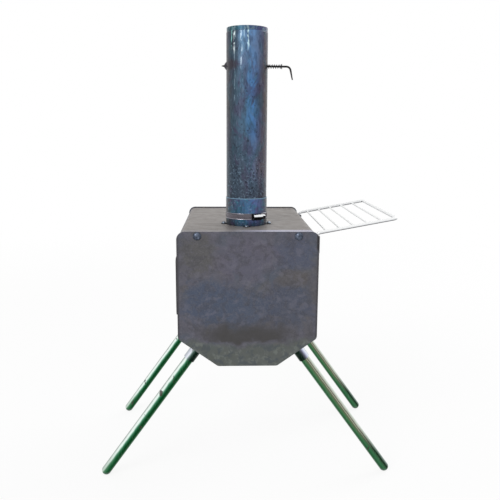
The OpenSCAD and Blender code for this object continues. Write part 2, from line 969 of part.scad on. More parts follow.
// Steel band round the collar
module clamp_band() {
    color("#b8bcc0")
        placed()
            at_clamp()
                difference() {
                    translate([0, 0, -band_w / 2])
                        cylinder(r = band_out_r, h = band_w, $fn = 96);
                    translate([0, 0, -band_w / 2 - over])
                        cylinder(r = band_in_r, h = band_w + 2 * over, $fn = 96);
                }
}

// Housing of the worm screw, seated on the band
module clamp_housing() {
    color("#d4d7da")
        placed()
            at_clamp()
                difference() {
                    union() {
                        translate([-housing_l / 2, -worm_y, 0])
                            rotate([0, 90, 0])
                                cylinder(d = housing_depth, h = housing_l);
                        translate([-housing_l / 2, -worm_y, -housing_h / 2])
                            cube([housing_l, housing_depth / 2 + over, housing_h]);
                    }
                    translate([0, 0, -housing_h])
                        cylinder(r = band_out_r + run_gap, h = 2 * housing_h, $fn = 96);
                    translate([-housing_l, -worm_y, 0])
                        rotate([0, 90, 0])
                            cylinder(d = worm_d + 2 * run_gap, h = 2 * housing_l);
                }
}

// Worm screw with its hexagon head
module clamp_screw() {
    head_x = housing_l / 2 + move_gap;
    slot_w = 1.2;
    slot_depth = 1.4;
    color("#c7cacd")
        placed()
            at_clamp()
                translate([0, -worm_y, 0])
                    rotate([0, 90, 0]) {
                        translate([0, 0, -housing_l / 2])
                            cylinder(d = worm_d, h = housing_l + move_gap);
                        difference() {
                            translate([0, 0, head_x])
                                cylinder(d = worm_head_d, h = worm_head_l, $fn = 6);
                            translate([-worm_head_d, -slot_w / 2, head_x + worm_head_l - slot_depth])
                                cube([2 * worm_head_d, slot_w, 2 * slot_depth]);
                        }
                    }
}

// Flue pipe with its drawn-in rim and the drawn-out lip of the rod's hole
module flue_pipe() {
    ease = 0.6;
    lip_root = 2;
    color("#486a92")
        placed()
            at_flue()
                difference() {
                    union() {
                        translate([0, 0, move_gap])
                            rotate_extrude($fn = 96)
                                polygon([[flue_bore_r, 0], [flue_r, 0], [flue_r, flue_h - rim_h - ease],
                                    [flue_r - rim_step, flue_h - rim_h], [flue_r - rim_step, flue_h],
                                    [flue_bore_r - rim_step, flue_h],
                                    [flue_bore_r - rim_step, flue_h - rim_h],
                                    [flue_bore_r, flue_h - rim_h - ease]]);
                        difference() {
                            translate([0, 0, damper_z])
                                rotate([0, -90, 0])
                                    translate([0, 0, flue_r - lip_root])
                                        cylinder(d1 = lip_d, d2 = rod_d + lip_mouth, h = lip_h + lip_root);
                            cylinder(r = flue_r - flue_wall / 2, h = flue_h, $fn = 96);
                        }
                    }
                    translate([-2 * flue_r, 0, damper_z])
                        rotate([0, 90, 0])
                            cylinder(r = rod_d / 2 + run_gap, h = 4 * flue_r);
                }
}

// Damper rod with its point and its bent handle
module damper_rod() {
    point_start = -flue_r - point_l / 2;
    bend_x = flue_r + crank_run;
    color("#2b2a2a")
        placed()
            at_damper() {
                translate([point_start, 0, 0])
                    rotate([0, 90, 0])
                        cylinder(d = rod_d, h = bend_x - point_start);
                translate([point_start, 0, 0])
                    rotate([0, -90, 0])
                        cylinder(d1 = rod_d, d2 = 0.8, h = point_l / 2, $fn = 32);
                translate([bend_x, 0, -crank_bend_r]) {
                    rotate([-90, -90, 0])
                        bend(crank_bend_r, rod_d, crank_angle);
                    rotate([0, crank_angle, 0])
                        translate([0, 0, crank_bend_r])
                            rotate([0, 90, 0])
                                cylinder(d1 = rod_d, d2 = crank_tip_d, h = crank_l, $fn = 32);
                }
            }
}

// Round damper plate with its sleeve, upright in the pipe when the handle hangs down
module damper_plate() {
    color("#45474c")
        placed()
            at_damper()
                difference() {
                    union() {
                        rotate([90, 0, 0])
                            translate([0, 0, -damper_t / 2])
                                cylinder(r = damper_r, h = damper_t, $fn = 64);
                        translate([-sleeve_l / 2, 0, 0])
                            rotate([0, 90, 0])
                                cylinder(d = sleeve_d, h = sleeve_l);
                    }
                    translate([-2 * flue_r, 0, 0])
                        rotate([0, 90, 0])
                            cylinder(r = rod_d / 2 + run_gap, h = 4 * flue_r);
                    for (side = [-1, 1])
                        translate([side * lock_pin_x, 0, 0])
                            rotate([90, 0, 0])
                                translate([0, 0, rod_d / 2])
                                    cylinder(d = lock_pin_d + 2 * run_gap, h = sleeve_d);
                }
}

// Two grub pins that lock the damper plate on the rod
module damper_lock_pins() {
    color("#333335")
        placed()
            at_damper()
                for (side = [-1, 1])
                    translate([side * lock_pin_x, 0, 0])
                        rotate([90, 0, 0])
                            translate([0, 0, rod_d / 2 + run_gap])
                                cylinder(d = lock_pin_d, h = sleeve_d / 2 - rod_d / 2 + run_gap);
}

// Points and directions of a coil along +X, from start, with one straight diameter at each end
function coil_stations(r, wire, pitch, turns, start) = let(
    n = round(turns * coil_rings),
    rise = pitch / 360,
    at = function (a) [start + a * rise, r * cos(a), r * sin(a)],
    way = function (a) let(t = [rise * 180 / PI, -r * sin(a), r * cos(a)]) t / norm(t),
    inner = [for (i = [0 : n]) let(a = i * turns * 360 / n) [at(a), way(a), [0, cos(a), sin(a)]]])
    concat([[inner[0][0] - inner[0][1] * wire, inner[0][1], inner[0][2]]], inner,
        [[inner[n][0] + inner[n][1] * wire, inner[n][1], inner[n][2]]]);

// Least gap between turns of a coil: distances between points at least half a turn apart
function coil_gap(stations, wire) = min([for (i = [0 : len(stations) - 1], j = [0 : len(stations) - 1])
    if (j - i > coil_rings / 2) norm(stations[i][0] - stations[j][0])]) - wire;

// Tube along the stations, with six sides
module coil_tube(stations, wire) {
    sides = 6;
    n = len(stations);
    points = [for (s = stations, k = [0 : sides - 1]) let(a = k * 360 / sides)
        s[0] + wire / 2 * (cos(a) * s[2] + sin(a) * cross(s[1], s[2]))];
    walls = [for (i = [0 : n - 2], k = [0 : sides - 1]) let(
        a = i * sides + k, b = i * sides + (k + 1) % sides, c = a + sides, d = b + sides)
        each [[a, c, b], [b, c, d]]];
    caps = [for (k = [1 : sides - 2]) each [[0, k, k + 1],
        [(n - 1) * sides, (n - 1) * sides + k + 1, (n - 1) * sides + k]]];
    polyhedron(points = points, faces = concat(walls, caps));
}

// Coil spring that presses on the pipe and the washer
module damper_spring() {
    stations = coil_stations(spring_r, spring_wire, spring_pitch, spring_turns, spring_start);
    echo("damper_spring least gap", coil_gap(stations, spring_wire));
    color("#77787a")
        placed()
            at_damper()
                coil_tube(stations, spring_wire);
}

// Washer between the damper spring and the handle
module damper_washer() {
    color("#3c3b3b")
        placed()
            at_damper()
                translate([washer_x, 0, 0])
                    rotate([0, 90, 0])
                        difference() {
                            cylinder(d = washer_d, h = washer_t);
                            translate([0, 0, -over])
                                cylinder(r = rod_d / 2 + run_gap, h = washer_t + 2 * over);
                        }
}

// Children at both hinges, with the hinge axis as Z and the lower end of the hinge as the ground
module at_hinges() {
    at_front()
        for (z = [door_z + hinge_inset, door_z + door_h - hinge_inset - 2 * knuckle_h])
            translate([hinge_x, hinge_y, z])
                children();
}

// Lower knuckles, welded to the front plate
module frame_knuckles() {
    color("#5a5855")
        placed()
            at_hinges()
                difference() {
                    cylinder(d = knuckle_d, h = knuckle_h);
                    translate([0, 0, -over])
                        cylinder(r = hinge_pin_d / 2 + run_gap, h = knuckle_h + 2 * over);
                }
}

// Pins that stand in the lower knuckles and carry the door
module hinge_pins() {
    color("#8d8e8f")
        placed()
            at_hinges()
                cylinder(d = hinge_pin_d, h = 2 * knuckle_h + move_gap);
}

// Flat door with rounded corners
module door_panel() {
    color("#5a5963")
        placed()
            at_front()
                difference() {
                    translate([0, 0, door_mid_z])
                        along_y(door_in, door_out)
                            rounded_box(door_w, door_h, door_r);
                    at_door_rivets()
                        cylinder(d = rivet_d + 2 * screw_gap, h = 3 * door_t, center = true);
                    translate([latch_x, 0, door_mid_z])
                        bar_y(latch_bolt_d + 2 * screw_gap, door_in - over, door_out + over);
                }
}

// Children at the rivets of both hinge straps, from the door's outer face outwards
module at_door_rivets() {
    for (z = [door_z + hinge_inset, door_z + door_h - hinge_inset - 2 * knuckle_h], i = [0, 1])
        translate([-door_w / 2 + rivet_first + i * rivet_step, door_out, z + 1.5 * knuckle_h])
            rotate([-90, 0, 0])
                children();
}

// Upper knuckles with their straps
module door_hinges() {
    color("#5a5855")
        placed()
            difference() {
                at_hinges()
                    translate([0, 0, knuckle_h + move_gap]) {
                        cylinder(d = knuckle_d, h = knuckle_h - move_gap);
                        translate([0, door_out - hinge_y, 0])
                            cube([-door_w / 2 - hinge_x + strap_l, strap_t, knuckle_h - move_gap]);
                    }
                at_hinges()
                    cylinder(r = hinge_pin_d / 2 + run_gap, h = 3 * knuckle_h);
                at_front()
                    at_door_rivets()
                        cylinder(d = rivet_d + 2 * screw_gap, h = 3 * strap_t, center = true);
            }
}

// Rivets through the straps and the door
module door_rivets() {
    color("#76767a")
        placed()
            at_front()
                at_door_rivets() {
                    translate([0, 0, strap_t])
                        dome(rivet_d * 1.8, rivet_head_h);
                    translate([0, 0, -door_t])
                        cylinder(d = rivet_d, h = door_t + strap_t);
                }
}

// Hook on the front plate that holds the latch's nose when it is shut
module latch_keeper() {
    foot_x0 = latch_x + nose_l + nose_gap;
    lip_y = lever_out + move_gap;
    color("#5a5855")
        placed()
            at_front()
                translate([0, 0, door_mid_z - keeper_h / 2]) {
                    translate([foot_x0, 0, 0])
                        cube([keeper_w, lip_y + keeper_lip_t, keeper_h]);
                    translate([foot_x0 - keeper_reach, lip_y, 0])
                        cube([keeper_reach + over, keeper_lip_t, keeper_h]);
                }
}

// Flat lever: its arm hangs down, and its nose stands free above the keeper until it is turned shut
module latch_lever() {
    color("#6b6a6c")
        placed()
            at_front()
                translate([latch_x, 0, door_mid_z])
                    difference() {
                        along_y(lever_in, lever_out) {
                            circle(d = lever_w + 4);
                            rotate(latch_turn)
                                translate([0, -lever_w / 2])
                                    square([nose_l, lever_w]);
                            translate([-lever_w / 2, -arm_l])
                                square([lever_w, arm_l]);
                            translate([0, -arm_l])
                                circle(d = lever_w);
                        }
                        bar_y(latch_bolt_d + 2 * run_gap, lever_in - over, lever_out + over);
                    }
}

// Pivot bolt of the latch
module latch_bolt() {
    color("#85878a")
        placed()
            at_front()
                translate([latch_x, 0, door_mid_z]) {
                    translate([0, lever_out + move_gap, 0])
                        rotate([-90, 0, 0])
                            dome(latch_bolt_d * 2, latch_head_h);
                    bar_y(latch_bolt_d, door_in - latch_nut_h - bolt_tail, lever_out + move_gap);
                }
}

// Nut on the inside of the door
module latch_nut() {
    color("#85878a")
        placed()
            at_front()
                translate([latch_x, door_in, door_mid_z])
                    rotate([90, 0, 0])
                        nut(latch_bolt_d * 1.6, latch_nut_h, latch_bolt_d + 2 * run_gap);
}

// Children at the foot of the latch's arm, with +Z away from the door
module at_grip() {
    at_front()
        translate([latch_x, lever_out, door_mid_z - arm_l])
            rotate([-90, 0, 0])
                children();
}

// Core rod of the grip, welded to the lever, with a threaded end
module latch_grip_core() {
    color("#5f6062")
        placed()
            at_grip() {
                cylinder(d = grip_d, h = grip_l);
                cylinder(d = grip_d / 2, h = grip_l + grip_nut_h * 0.7);
            }
}

// Coil that keeps the grip cool
module latch_grip_coil() {
    start = (grip_l - coil_turns * grip_pitch) / 2;
    stations = coil_stations(coil_r, grip_wire, grip_pitch, coil_turns, start);
    echo("latch_grip_coil least gap", coil_gap(stations, grip_wire));
    color("#c9cbcd")
        placed()
            at_grip()
                rotate([0, -90, 0])
                    coil_tube(stations, grip_wire);
}

// Round nut that closes the grip
module latch_grip_nut() {
    color("#b7babc")
        placed()
            at_grip()
                translate([0, 0, grip_l])
                    difference() {
                        dome(grip_nut_d, grip_nut_h);
                        translate([0, 0, -over])
                            cylinder(d = grip_d / 2 + 2 * run_gap, h = grip_nut_h * 0.75 + over);
                    }
}

// Two guides over the edges of the air slide
module air_guides() {
    lip_y = move_gap + slide_t + move_gap;
    edge = slide_h / 2 + move_gap;
    color("#5a5855")
        placed()
            at_front()
                for (side = [-1, 1])
                    translate([-guide_l / 2, 0, air_z])
                        mirror([0, 0, side < 0 ? 1 : 0]) {
                            translate([0, 0, edge])
                                cube([guide_l, lip_y + guide_lip_t, guide_foot]);
                            translate([0, lip_y, edge - guide_over])
                                cube([guide_l, guide_lip_t, guide_foot]);
                        }
}

// Air slide: its holes stand half a step beside the holes in the plate when it is shut
module air_slide() {
    color("#63626a")
        placed()
            at_front()
                translate([0, 0, air_z])
                    difference() {
                        translate([-slide_l / 2, move_gap, -slide_h / 2])
                            cube([slide_l, slide_t, slide_h]);
                        for (i = [0 : air_holes_n - 1])
                            translate([(i - air_holes_n / 2) * air_step, 0, 0])
                                bar_y(air_hole_d, move_gap - over, move_gap + slide_t + over);
                    }
}

// Knob of the air slide
module air_knob() {
    color("#aeb1b4")
        placed()
            at_front()
                translate([knob_x, move_gap + slide_t, air_z])
                    rotate([-90, 0, 0]) {
                        cylinder(d = knob_neck_d, h = knob_h);
                        translate([0, 0, knob_h - knob_cap_h])
                            cylinder(d = knob_d, h = knob_cap_h);
                    }
}

body_wrap();
rear_plate();
front_plate();
corner_blocks();
plate_screws(-1);  // rear_plate_screws
plate_screws(1);  // front_plate_screws
leg_sockets();
rack_sockets();
window_frame();
window_glass();
window_gasket();
window_screws();
window_nuts();
grate();
baffle();
flue_collar();
collar_screws();
collar_nuts();
clamp_band();
clamp_housing();
clamp_screw();
flue_pipe();
damper_rod();
damper_plate();
damper_lock_pins();
damper_spring();
damper_washer();
rack_frame();
rack_wires();
leg(-1, -1);  // leg_rear_left
leg(1, -1);  // leg_rear_right
leg(-1, 1);  // leg_front_left
leg(1, 1);  // leg_front_right
foot(-1, -1);  // foot_rear_left
foot(1, -1);  // foot_rear_right
foot(-1, 1);  // foot_front_left
foot(1, 1);  // foot_front_right
frame_knuckles();
hinge_pins();
door_panel();
door_hinges();
door_rivets();
latch_keeper();
latch_lever();
latch_bolt();
latch_nut();
latch_grip_core();
latch_grip_coil();
latch_grip_nut();
air_guides();
air_slide();
air_knob();
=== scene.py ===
import math

import bpy
import numpy as np
from mathutils import Matrix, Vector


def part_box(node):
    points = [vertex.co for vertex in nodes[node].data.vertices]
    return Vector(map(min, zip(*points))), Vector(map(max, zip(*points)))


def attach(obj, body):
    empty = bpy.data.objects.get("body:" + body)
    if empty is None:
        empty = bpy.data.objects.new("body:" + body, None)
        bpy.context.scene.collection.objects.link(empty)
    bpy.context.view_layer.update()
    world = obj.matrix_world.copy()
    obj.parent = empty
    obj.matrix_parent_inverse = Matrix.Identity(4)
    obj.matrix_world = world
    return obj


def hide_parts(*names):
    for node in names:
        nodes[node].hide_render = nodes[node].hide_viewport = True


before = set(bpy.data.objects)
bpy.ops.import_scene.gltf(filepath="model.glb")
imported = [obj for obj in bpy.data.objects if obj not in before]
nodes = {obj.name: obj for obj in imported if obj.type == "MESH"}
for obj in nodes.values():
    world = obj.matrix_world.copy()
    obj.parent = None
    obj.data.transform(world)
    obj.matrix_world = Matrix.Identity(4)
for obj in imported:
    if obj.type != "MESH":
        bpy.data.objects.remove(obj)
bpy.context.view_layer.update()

# Camera, where the photograph was taken from: 0.9 m behind the plain rear plate, higher than the
# body and lower than the pipe's rim, looking slightly down. Sizes are in metres.
photo_px = 500
focal_px = 607.3
camera_place = (-0.02887, -1.0528, 0.5495)
camera_pitch = math.radians(11.032)
camera_yaw = math.radians(2.074)
camera_roll = math.radians(0.335)
camera_data = bpy.data.cameras.new("photo_camera")
camera_data.sensor_width = 36.0
camera_data.lens = focal_px / photo_px * camera_data.sensor_width
camera_data.clip_start = 0.01
camera = bpy.data.objects.new("photo_camera", camera_data)
bpy.context.scene.collection.objects.link(camera)
forward = np.array([
    math.sin(camera_yaw) * math.cos(camera_pitch),
    math.cos(camera_yaw) * math.cos(camera_pitch),
    -math.sin(camera_pitch),
])
level_right = np.array([math.cos(camera_yaw), -math.sin(camera_yaw), 0.0])
level_up = np.cross(level_right, forward)
right = math.cos(camera_roll) * level_right + math.sin(camera_roll) * level_up
up = math.cos(camera_roll) * level_up - math.sin(camera_roll) * level_right
turn = Matrix([[right[i], up[i], -forward[i]] for i in range(3)])
camera.matrix_world = Matrix.Translation(camera_place) @ turn.to_4x4()
bpy.context.scene.camera = camera
bpy.context.scene.view_settings.view_transform = "Standard"


# Studio: a plain pale floor that meets a white background, an even white sky, and two large soft
# lamps. The floor and the sky look white to the eye and to polished metal. The floor keeps the
# stove's shadow within half a metre, and fades to white from there, so that no horizon shows.
def add(tree, kind, inputs=(), **settings):
    """Adds a shader node with its settings. An input, by name or number, takes a value, a socket or
    another node, which stands for the first of its outputs that is in use. By number, Map Range has its
    value (0), the ends of its range (1, 2) and what they become (3, 4, or 0 and 1 where none is given),
    and Mix the share (0), the colour at none of it (6) and the colour at all of it (7)."""
    made = tree.nodes.new("ShaderNode" + kind)
    for key, value in settings.items():
        setattr(made, key, value)
    for key, value in dict(inputs).items():
        if isinstance(value, bpy.types.Node):
            value = next(output for output in value.outputs if output.enabled)
        if isinstance(value, bpy.types.NodeSocket):
            tree.links.new(value, made.inputs[key])
        else:
            made.inputs[key].default_value = value
    return made


def seen_white(tree):
    """1 for the rays that see the background itself: from the eye, off polished metal, through glass."""
    rays = add(tree, "LightPath")
    eye_or_metal = add(tree, "Math", {0: rays.outputs["Is Camera Ray"], 1: rays.outputs["Is Glossy Ray"]},
                       operation="MAXIMUM")
    return add(tree, "Math", {0: eye_or_metal, 1: rays.outputs["Is Transmission Ray"]}, operation="MAXIMUM")


white = (1, 1, 1, 1)
sky_fill = 0.62
world = bpy.data.worlds.new("white_studio")
world.use_nodes = True
bpy.context.scene.world = world
sky_tree = world.node_tree
sky_tree.nodes.clear()
fill_light = add(sky_tree, "Background", {"Color": white, "Strength": sky_fill})
white_light = add(sky_tree, "Background", {"Color": white, "Strength": 1.0})
sky_mix = add(sky_tree, "MixShader", {0: seen_white(sky_tree), 1: fill_light, 2: white_light})
add(sky_tree, "OutputWorld", {"Surface": sky_mix})

# A smooth range eases in and out between its two ends.
smooth = {"interpolation_type": "SMOOTHSTEP"}
floor_half = 6.0
floor_colour = (0.95, 0.95, 0.95, 1)
near_glow = 0.88
shadow_reach = 0.5
white_reach = 2.5
floor_mesh = bpy.data.meshes.new("floor")
floor_mesh.from_pydata([(x * floor_half, y * floor_half, 0) for x, y in ((-1, -1), (1, -1), (1, 1), (-1, 1))],
                       [], [(0, 1, 2, 3)])
floor = bpy.data.objects.new("floor", floor_mesh)
bpy.context.scene.collection.objects.link(floor)
floor_paint = bpy.data.materials.new("pale_floor")
floor_paint.use_nodes = True
floor_tree = floor_paint.node_tree
floor_tree.nodes.clear()
floor_matt = add(floor_tree, "BsdfDiffuse", {"Color": floor_colour})
floor_glow = add(floor_tree, "Emission", {"Color": white, "Strength": 1.0})
floor_place = add(floor_tree, "TexCoord").outputs["Object"]
from_stove = add(floor_tree, "VectorMath", {0: floor_place}, operation="LENGTH")
floor_fade = add(floor_tree, "MapRange", {0: from_stove, 1: shadow_reach, 2: white_reach, 3: near_glow},
                 **smooth)
floor_share = add(floor_tree, "Math", {0: seen_white(floor_tree), 1: floor_fade}, operation="MULTIPLY")
floor_mix = add(floor_tree, "MixShader", {0: floor_share, 1: floor_matt, 2: floor_glow})
add(floor_tree, "OutputMaterial", {"Surface": floor_mix})
floor_mesh.materials.append(floor_paint)


def soft_lamp(name, place, aim, size, watts):
    """A square area lamp, size metres wide, turned so that it shines from its place at the aim."""
    data = bpy.data.lights.new(name, "AREA")
    data.size = size
    data.energy = watts
    lamp = bpy.data.objects.new(name, data)
    back = np.array(place, float) - np.array(aim, float)
    back /= np.linalg.norm(back)
    side = np.cross([0.0, 0.0, 1.0], back)
    side /= np.linalg.norm(side)
    over = np.cross(back, side)
    axes = Matrix([[side[i], over[i], back[i]] for i in range(3)])
    lamp.matrix_world = Matrix.Translation(place) @ axes.to_4x4()
    bpy.context.scene.collection.objects.link(lamp)


stove_middle = (0, 0, 0.35)
soft_lamp("key_lamp", (-1.3, -1.7, 1.7), stove_middle, 1.2, 22)
soft_lamp("rim_lamp", (1.6, 1.2, 1.8), stove_middle, 1.4, 18)


# Body: end plates, and the sheet folded round them, in hot-rolled mild steel with its mill scale.
# The scale is a thin dark oxide: satin, blotched violet, blue and brown, with a fine grain. The real
# grain is about 0.2 mm, and is drawn at 1.2 mm, which is as fine as the picture can show.
mottle = 0.016
grain = 0.0012
grain_depth = 0.00012
scale_rough = (0.40, 0.58)
plate_low, plate_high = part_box("rear_plate")
plate_half = (plate_high.x - plate_low.x) / 2
body_x = (plate_low.x + plate_high.x) / 2


def tone(code):
    """An sRGB hex colour as linear red, green, blue and a full alpha."""
    parts = [int(code[i:i + 2], 16) / 255 for i in (1, 3, 5)]
    return [p / 12.92 if p <= 0.04045 else ((p + 0.055) / 1.055) ** 2.4 for p in parts] + [1.0]


def finish_of(name, metallic, roughness):
    """A new material, its tree, its Principled shader, and the place on the object's own coordinates."""
    made = bpy.data.materials.new(name)
    made.use_nodes = True
    tree = made.node_tree
    tree.nodes.clear()
    shader = add(tree, "BsdfPrincipled", {"Metallic": metallic, "Roughness": roughness})
    add(tree, "OutputMaterial", {"Surface": shader})
    return made, tree, shader, add(tree, "TexCoord").outputs["Object"]


def cloud(tree, place, size, edges=None, most=1.0, detail=3.0, stretch=(1, 1, 1), shift=(0, 0, 0), warp=0.0):
    """Noise whose blotches are about size metres across, times stretch along each axis. With edges it is
    drawn into patches: 0 where the noise is under the first edge, and most where it is over the
    second."""
    spread = add(tree, "Mapping", {"Vector": place, "Scale": [1 / (size * s) for s in stretch],
                                   "Location": shift})
    noise = add(tree, "TexNoise", {"Vector": spread, "Scale": 1.0, "Detail": detail, "Roughness": 0.55,
                                   "Distortion": warp})
    if edges is None:
        return noise
    return add(tree, "MapRange", {0: noise, 1: edges[0], 2: edges[1], 4: most}, **smooth)


def layered(tree, base, layers):
    """Lays colours over a base, each by its own share from 0 to 1."""
    for share, code in layers:
        base = add(tree, "Mix", {0: share, 6: base, 7: tone(code)}, data_type="RGBA")
    return base


def surface(tree, shader, colour, rough_noise, rough, bumps, depth):
    """Colours a shader from a mix, sets its roughness between two values by a noise, and raises bumps.
    A noise keeps between 0.3 and 0.7 almost everywhere, so that span takes the whole of the roughness."""
    tree.links.new(colour.outputs[2], shader.inputs["Base Color"])
    spread = add(tree, "MapRange", {0: rough_noise, 1: 0.3, 2: 0.7, 3: rough[0], 4: rough[1]})
    tree.links.new(spread.outputs[0], shader.inputs["Roughness"])
    bump = add(tree, "Bump", {"Height": bumps, "Distance": depth, "Strength": 0.6})
    tree.links.new(bump.outputs[0], shader.inputs["Normal"])


def mill_scale(name, shift):
    """Mill scale in soft patches 60 to 80 mm across: violet, blue-grey and brown."""
    made, tree, shader, place = finish_of(name, 0.1, 0.5)
    second_shift = (shift[0] + 7.3, shift[1], shift[2] + 2.1)
    colour = layered(tree, tone("#4f4e59"), [
        (cloud(tree, place, 0.075, (0.44, 0.60), shift=shift, warp=0.5), "#454c5a"),
        (cloud(tree, place, 0.055, (0.52, 0.66), 0.7, shift=second_shift, warp=0.8), "#524f4d"),
    ])
    return made, tree, shader, place, colour


def flecked(tree, place, colour, shift):
    """Lays the scale's ragged blotches, paler flecks and fine grain over a sheet's own colours."""
    return layered(tree, colour, [
        (cloud(tree, place, 0.020, (0.48, 0.60), 0.42, 5.0, shift=shift, warp=1.0), "#36363e"),
        (cloud(tree, place, 0.0085, (0.54, 0.66), 0.36, 5.0, (1.6, 1, 1), (shift[0], 4, 6), 0.8), "#34343b"),
        (cloud(tree, place, 0.012, (0.52, 0.66), 0.32, 5.0, (1.2, 1, 1), (9, shift[1], 3), 0.3), "#6b6a78"),
        (cloud(tree, place, 0.0030, (0.50, 0.75), 0.26, 3.0, shift=(5, 5, shift[2])), "#6d6b72"),
        (cloud(tree, place, grain, (0.35, 0.75), 0.16, 2.0), "#77747a"),
    ])


def satin(tree, shader, place, colour):
    """Gives a sheet the sheen of the scale, duller and brighter in patches, and the relief of its grain."""
    surface(tree, shader, colour, cloud(tree, place, mottle), scale_rough, cloud(tree, place, grain),
            grain_depth)


def plain_sheet(name, shift):
    """A sheet that shows the scale alone."""
    made, tree, shader, place, colour = mill_scale(name, shift)
    satin(tree, shader, place, flecked(tree, place, colour, shift))
    return made


def facing_up(tree, source="TexCoord"):
    """How far the surface faces up, from -1 to 1: at rest, or with NewGeometry once its piece has turned."""
    return add(tree, "SeparateXYZ", {0: add(tree, source).outputs["Normal"]}).outputs[2]


def dress(names, material):
    """Gives CAD nodes a material in every slot."""
    for name in names:
        mesh = nodes[name].data
        for i in range(len(mesh.materials)):
            mesh.materials[i] = material


plate_shift = (0.4, 0.0, 1.7)
plate_scale, tree, shader, place, colour = mill_scale("plate_mill_scale", plate_shift)
# Heat patches on the rear plate: how far right of its middle and under its top, half width and half
# height, all in mm, then the colour of the oxide and how strongly it shows. A patch's edge is ragged: the
# distance from its middle, in half widths, has a noise added, and it fades between two such distances.
heat_patches = [
    (67, 33, 34, 28, "#40475c", 0.80),
    (-55, 108, 50, 36, "#36435a", 0.85),
    (-8, 120, 50, 32, "#3a465b", 0.80),
    (60, 110, 42, 36, "#3a4255", 0.80),
    (-73, 33, 30, 32, "#4a4947", 0.80),
    (66, 70, 28, 14, "#4d4846", 0.70),
    (0, 42, 50, 36, "#545060", 0.65),
]
patch_rag = 1.5
patch_core, patch_edge = 1.35, 1.95
ragged = cloud(tree, place, mottle, detail=5.0, warp=0.8)
for right_mm, under_mm, half_x, half_z, code, most in heat_patches:
    middle = (body_x + right_mm / 1000, 0, plate_high.z - under_mm / 1000)
    moved = add(tree, "VectorMath", {0: place, 1: middle}, operation="SUBTRACT")
    scaled = add(tree, "VectorMath", {0: moved, 1: (1000 / half_x, 0, 1000 / half_z)}, operation="MULTIPLY")
    reach = add(tree, "VectorMath", {0: scaled}, operation="LENGTH")
    worn = add(tree, "Math", {0: ragged, 1: patch_rag, 2: reach}, operation="MULTIPLY_ADD")
    inside = add(tree, "MapRange", {0: worn, 1: patch_edge, 2: patch_core, 4: most}, **smooth)
    colour = layered(tree, colour, [(inside, code)])
# Soot in an arch over the foot of the plate, and greenish steel under it. Their height is taken 15 mm
# over the foot, with a slow wave of 30 mm added, and less 1.1 times the square of the distance from the
# middle.
foot_line = plate_low.z + 0.015
slow_wave = 0.03
arch_drop = 1.1
axes = add(tree, "SeparateXYZ", {0: place})
from_middle = add(tree, "Math", {0: axes.outputs[0], 1: body_x}, operation="SUBTRACT")
off_middle = add(tree, "Math", {0: from_middle}, operation="ABSOLUTE")
from_foot = add(tree, "Math", {0: axes.outputs[2], 1: foot_line}, operation="SUBTRACT")
wavy = add(tree, "Math", {0: cloud(tree, place, slow_wave, warp=0.4), 1: slow_wave, 2: from_foot},
           operation="MULTIPLY_ADD")
arch = add(tree, "Math", {0: from_middle, 1: 2.0}, operation="POWER")
height = add(tree, "Math", {0: arch, 1: -arch_drop, 2: wavy}, operation="MULTIPLY_ADD")
soot_low = add(tree, "MapRange", {0: height, 1: 0.034, 2: 0.041}, **smooth)
soot_high = add(tree, "MapRange", {0: height, 1: 0.076, 2: 0.050}, **smooth)
soot_band = add(tree, "Math", {0: soot_low, 1: soot_high}, operation="MULTIPLY")
soot_across = add(tree, "MapRange", {0: off_middle, 1: 0.090, 2: 0.035, 4: 0.85}, **smooth)
soot = add(tree, "Math", {0: soot_band, 1: soot_across}, operation="MULTIPLY")
green_foot = add(tree, "MapRange", {0: height, 1: 0.038, 2: 0.026, 4: 0.75}, **smooth)
colour = flecked(tree, place, colour, plate_shift)
pale_spot = cloud(tree, place, 0.008, (0.50, 0.66), 0.80, 5.0, shift=(3, 2, 7), warp=0.2)
pale_spot = add(tree, "Math", {0: pale_spot, 1: green_foot}, operation="MULTIPLY")
dark_spot = cloud(tree, place, 0.015, (0.50, 0.60), 1.0, 5.0, shift=(6, 2, 1), warp=0.4)
dark_spot = add(tree, "Math", {0: dark_spot, 1: green_foot}, operation="MULTIPLY")
colour = layered(tree, colour, [(soot, "#343230"), (green_foot, "#50564f"), (pale_spot, "#6a706c"),
                                (dark_spot, "#3f464b")])
# Painted shade darkens the cut edges left and right, and lies darkest beside the rack's near socket.
edge_shade = add(tree, "MapRange", {0: off_middle, 1: plate_half - 0.0045, 2: plate_half - 0.0010, 4: 0.75},
                **smooth)
beside_socket = add(tree, "MapRange", {0: axes.outputs[2], 1: plate_high.z - 0.030, 2: plate_high.z - 0.024},
                    **smooth)
socket_shade = add(tree, "MapRange", {0: from_middle, 1: plate_half - 0.0045, 2: plate_half - 0.0025},
                  **smooth)
socket_shade = add(tree, "Math", {0: socket_shade, 1: beside_socket}, operation="MULTIPLY")
colour = layered(tree, colour, [(edge_shade, "#2f2c30"), (socket_shade, "#1d1b1f")])
satin(tree, shader, place, colour)
dress(["rear_plate"], plate_scale)
dress(["front_plate"], plain_sheet("front_mill_scale", (3.1, 5.0, 0.6)))
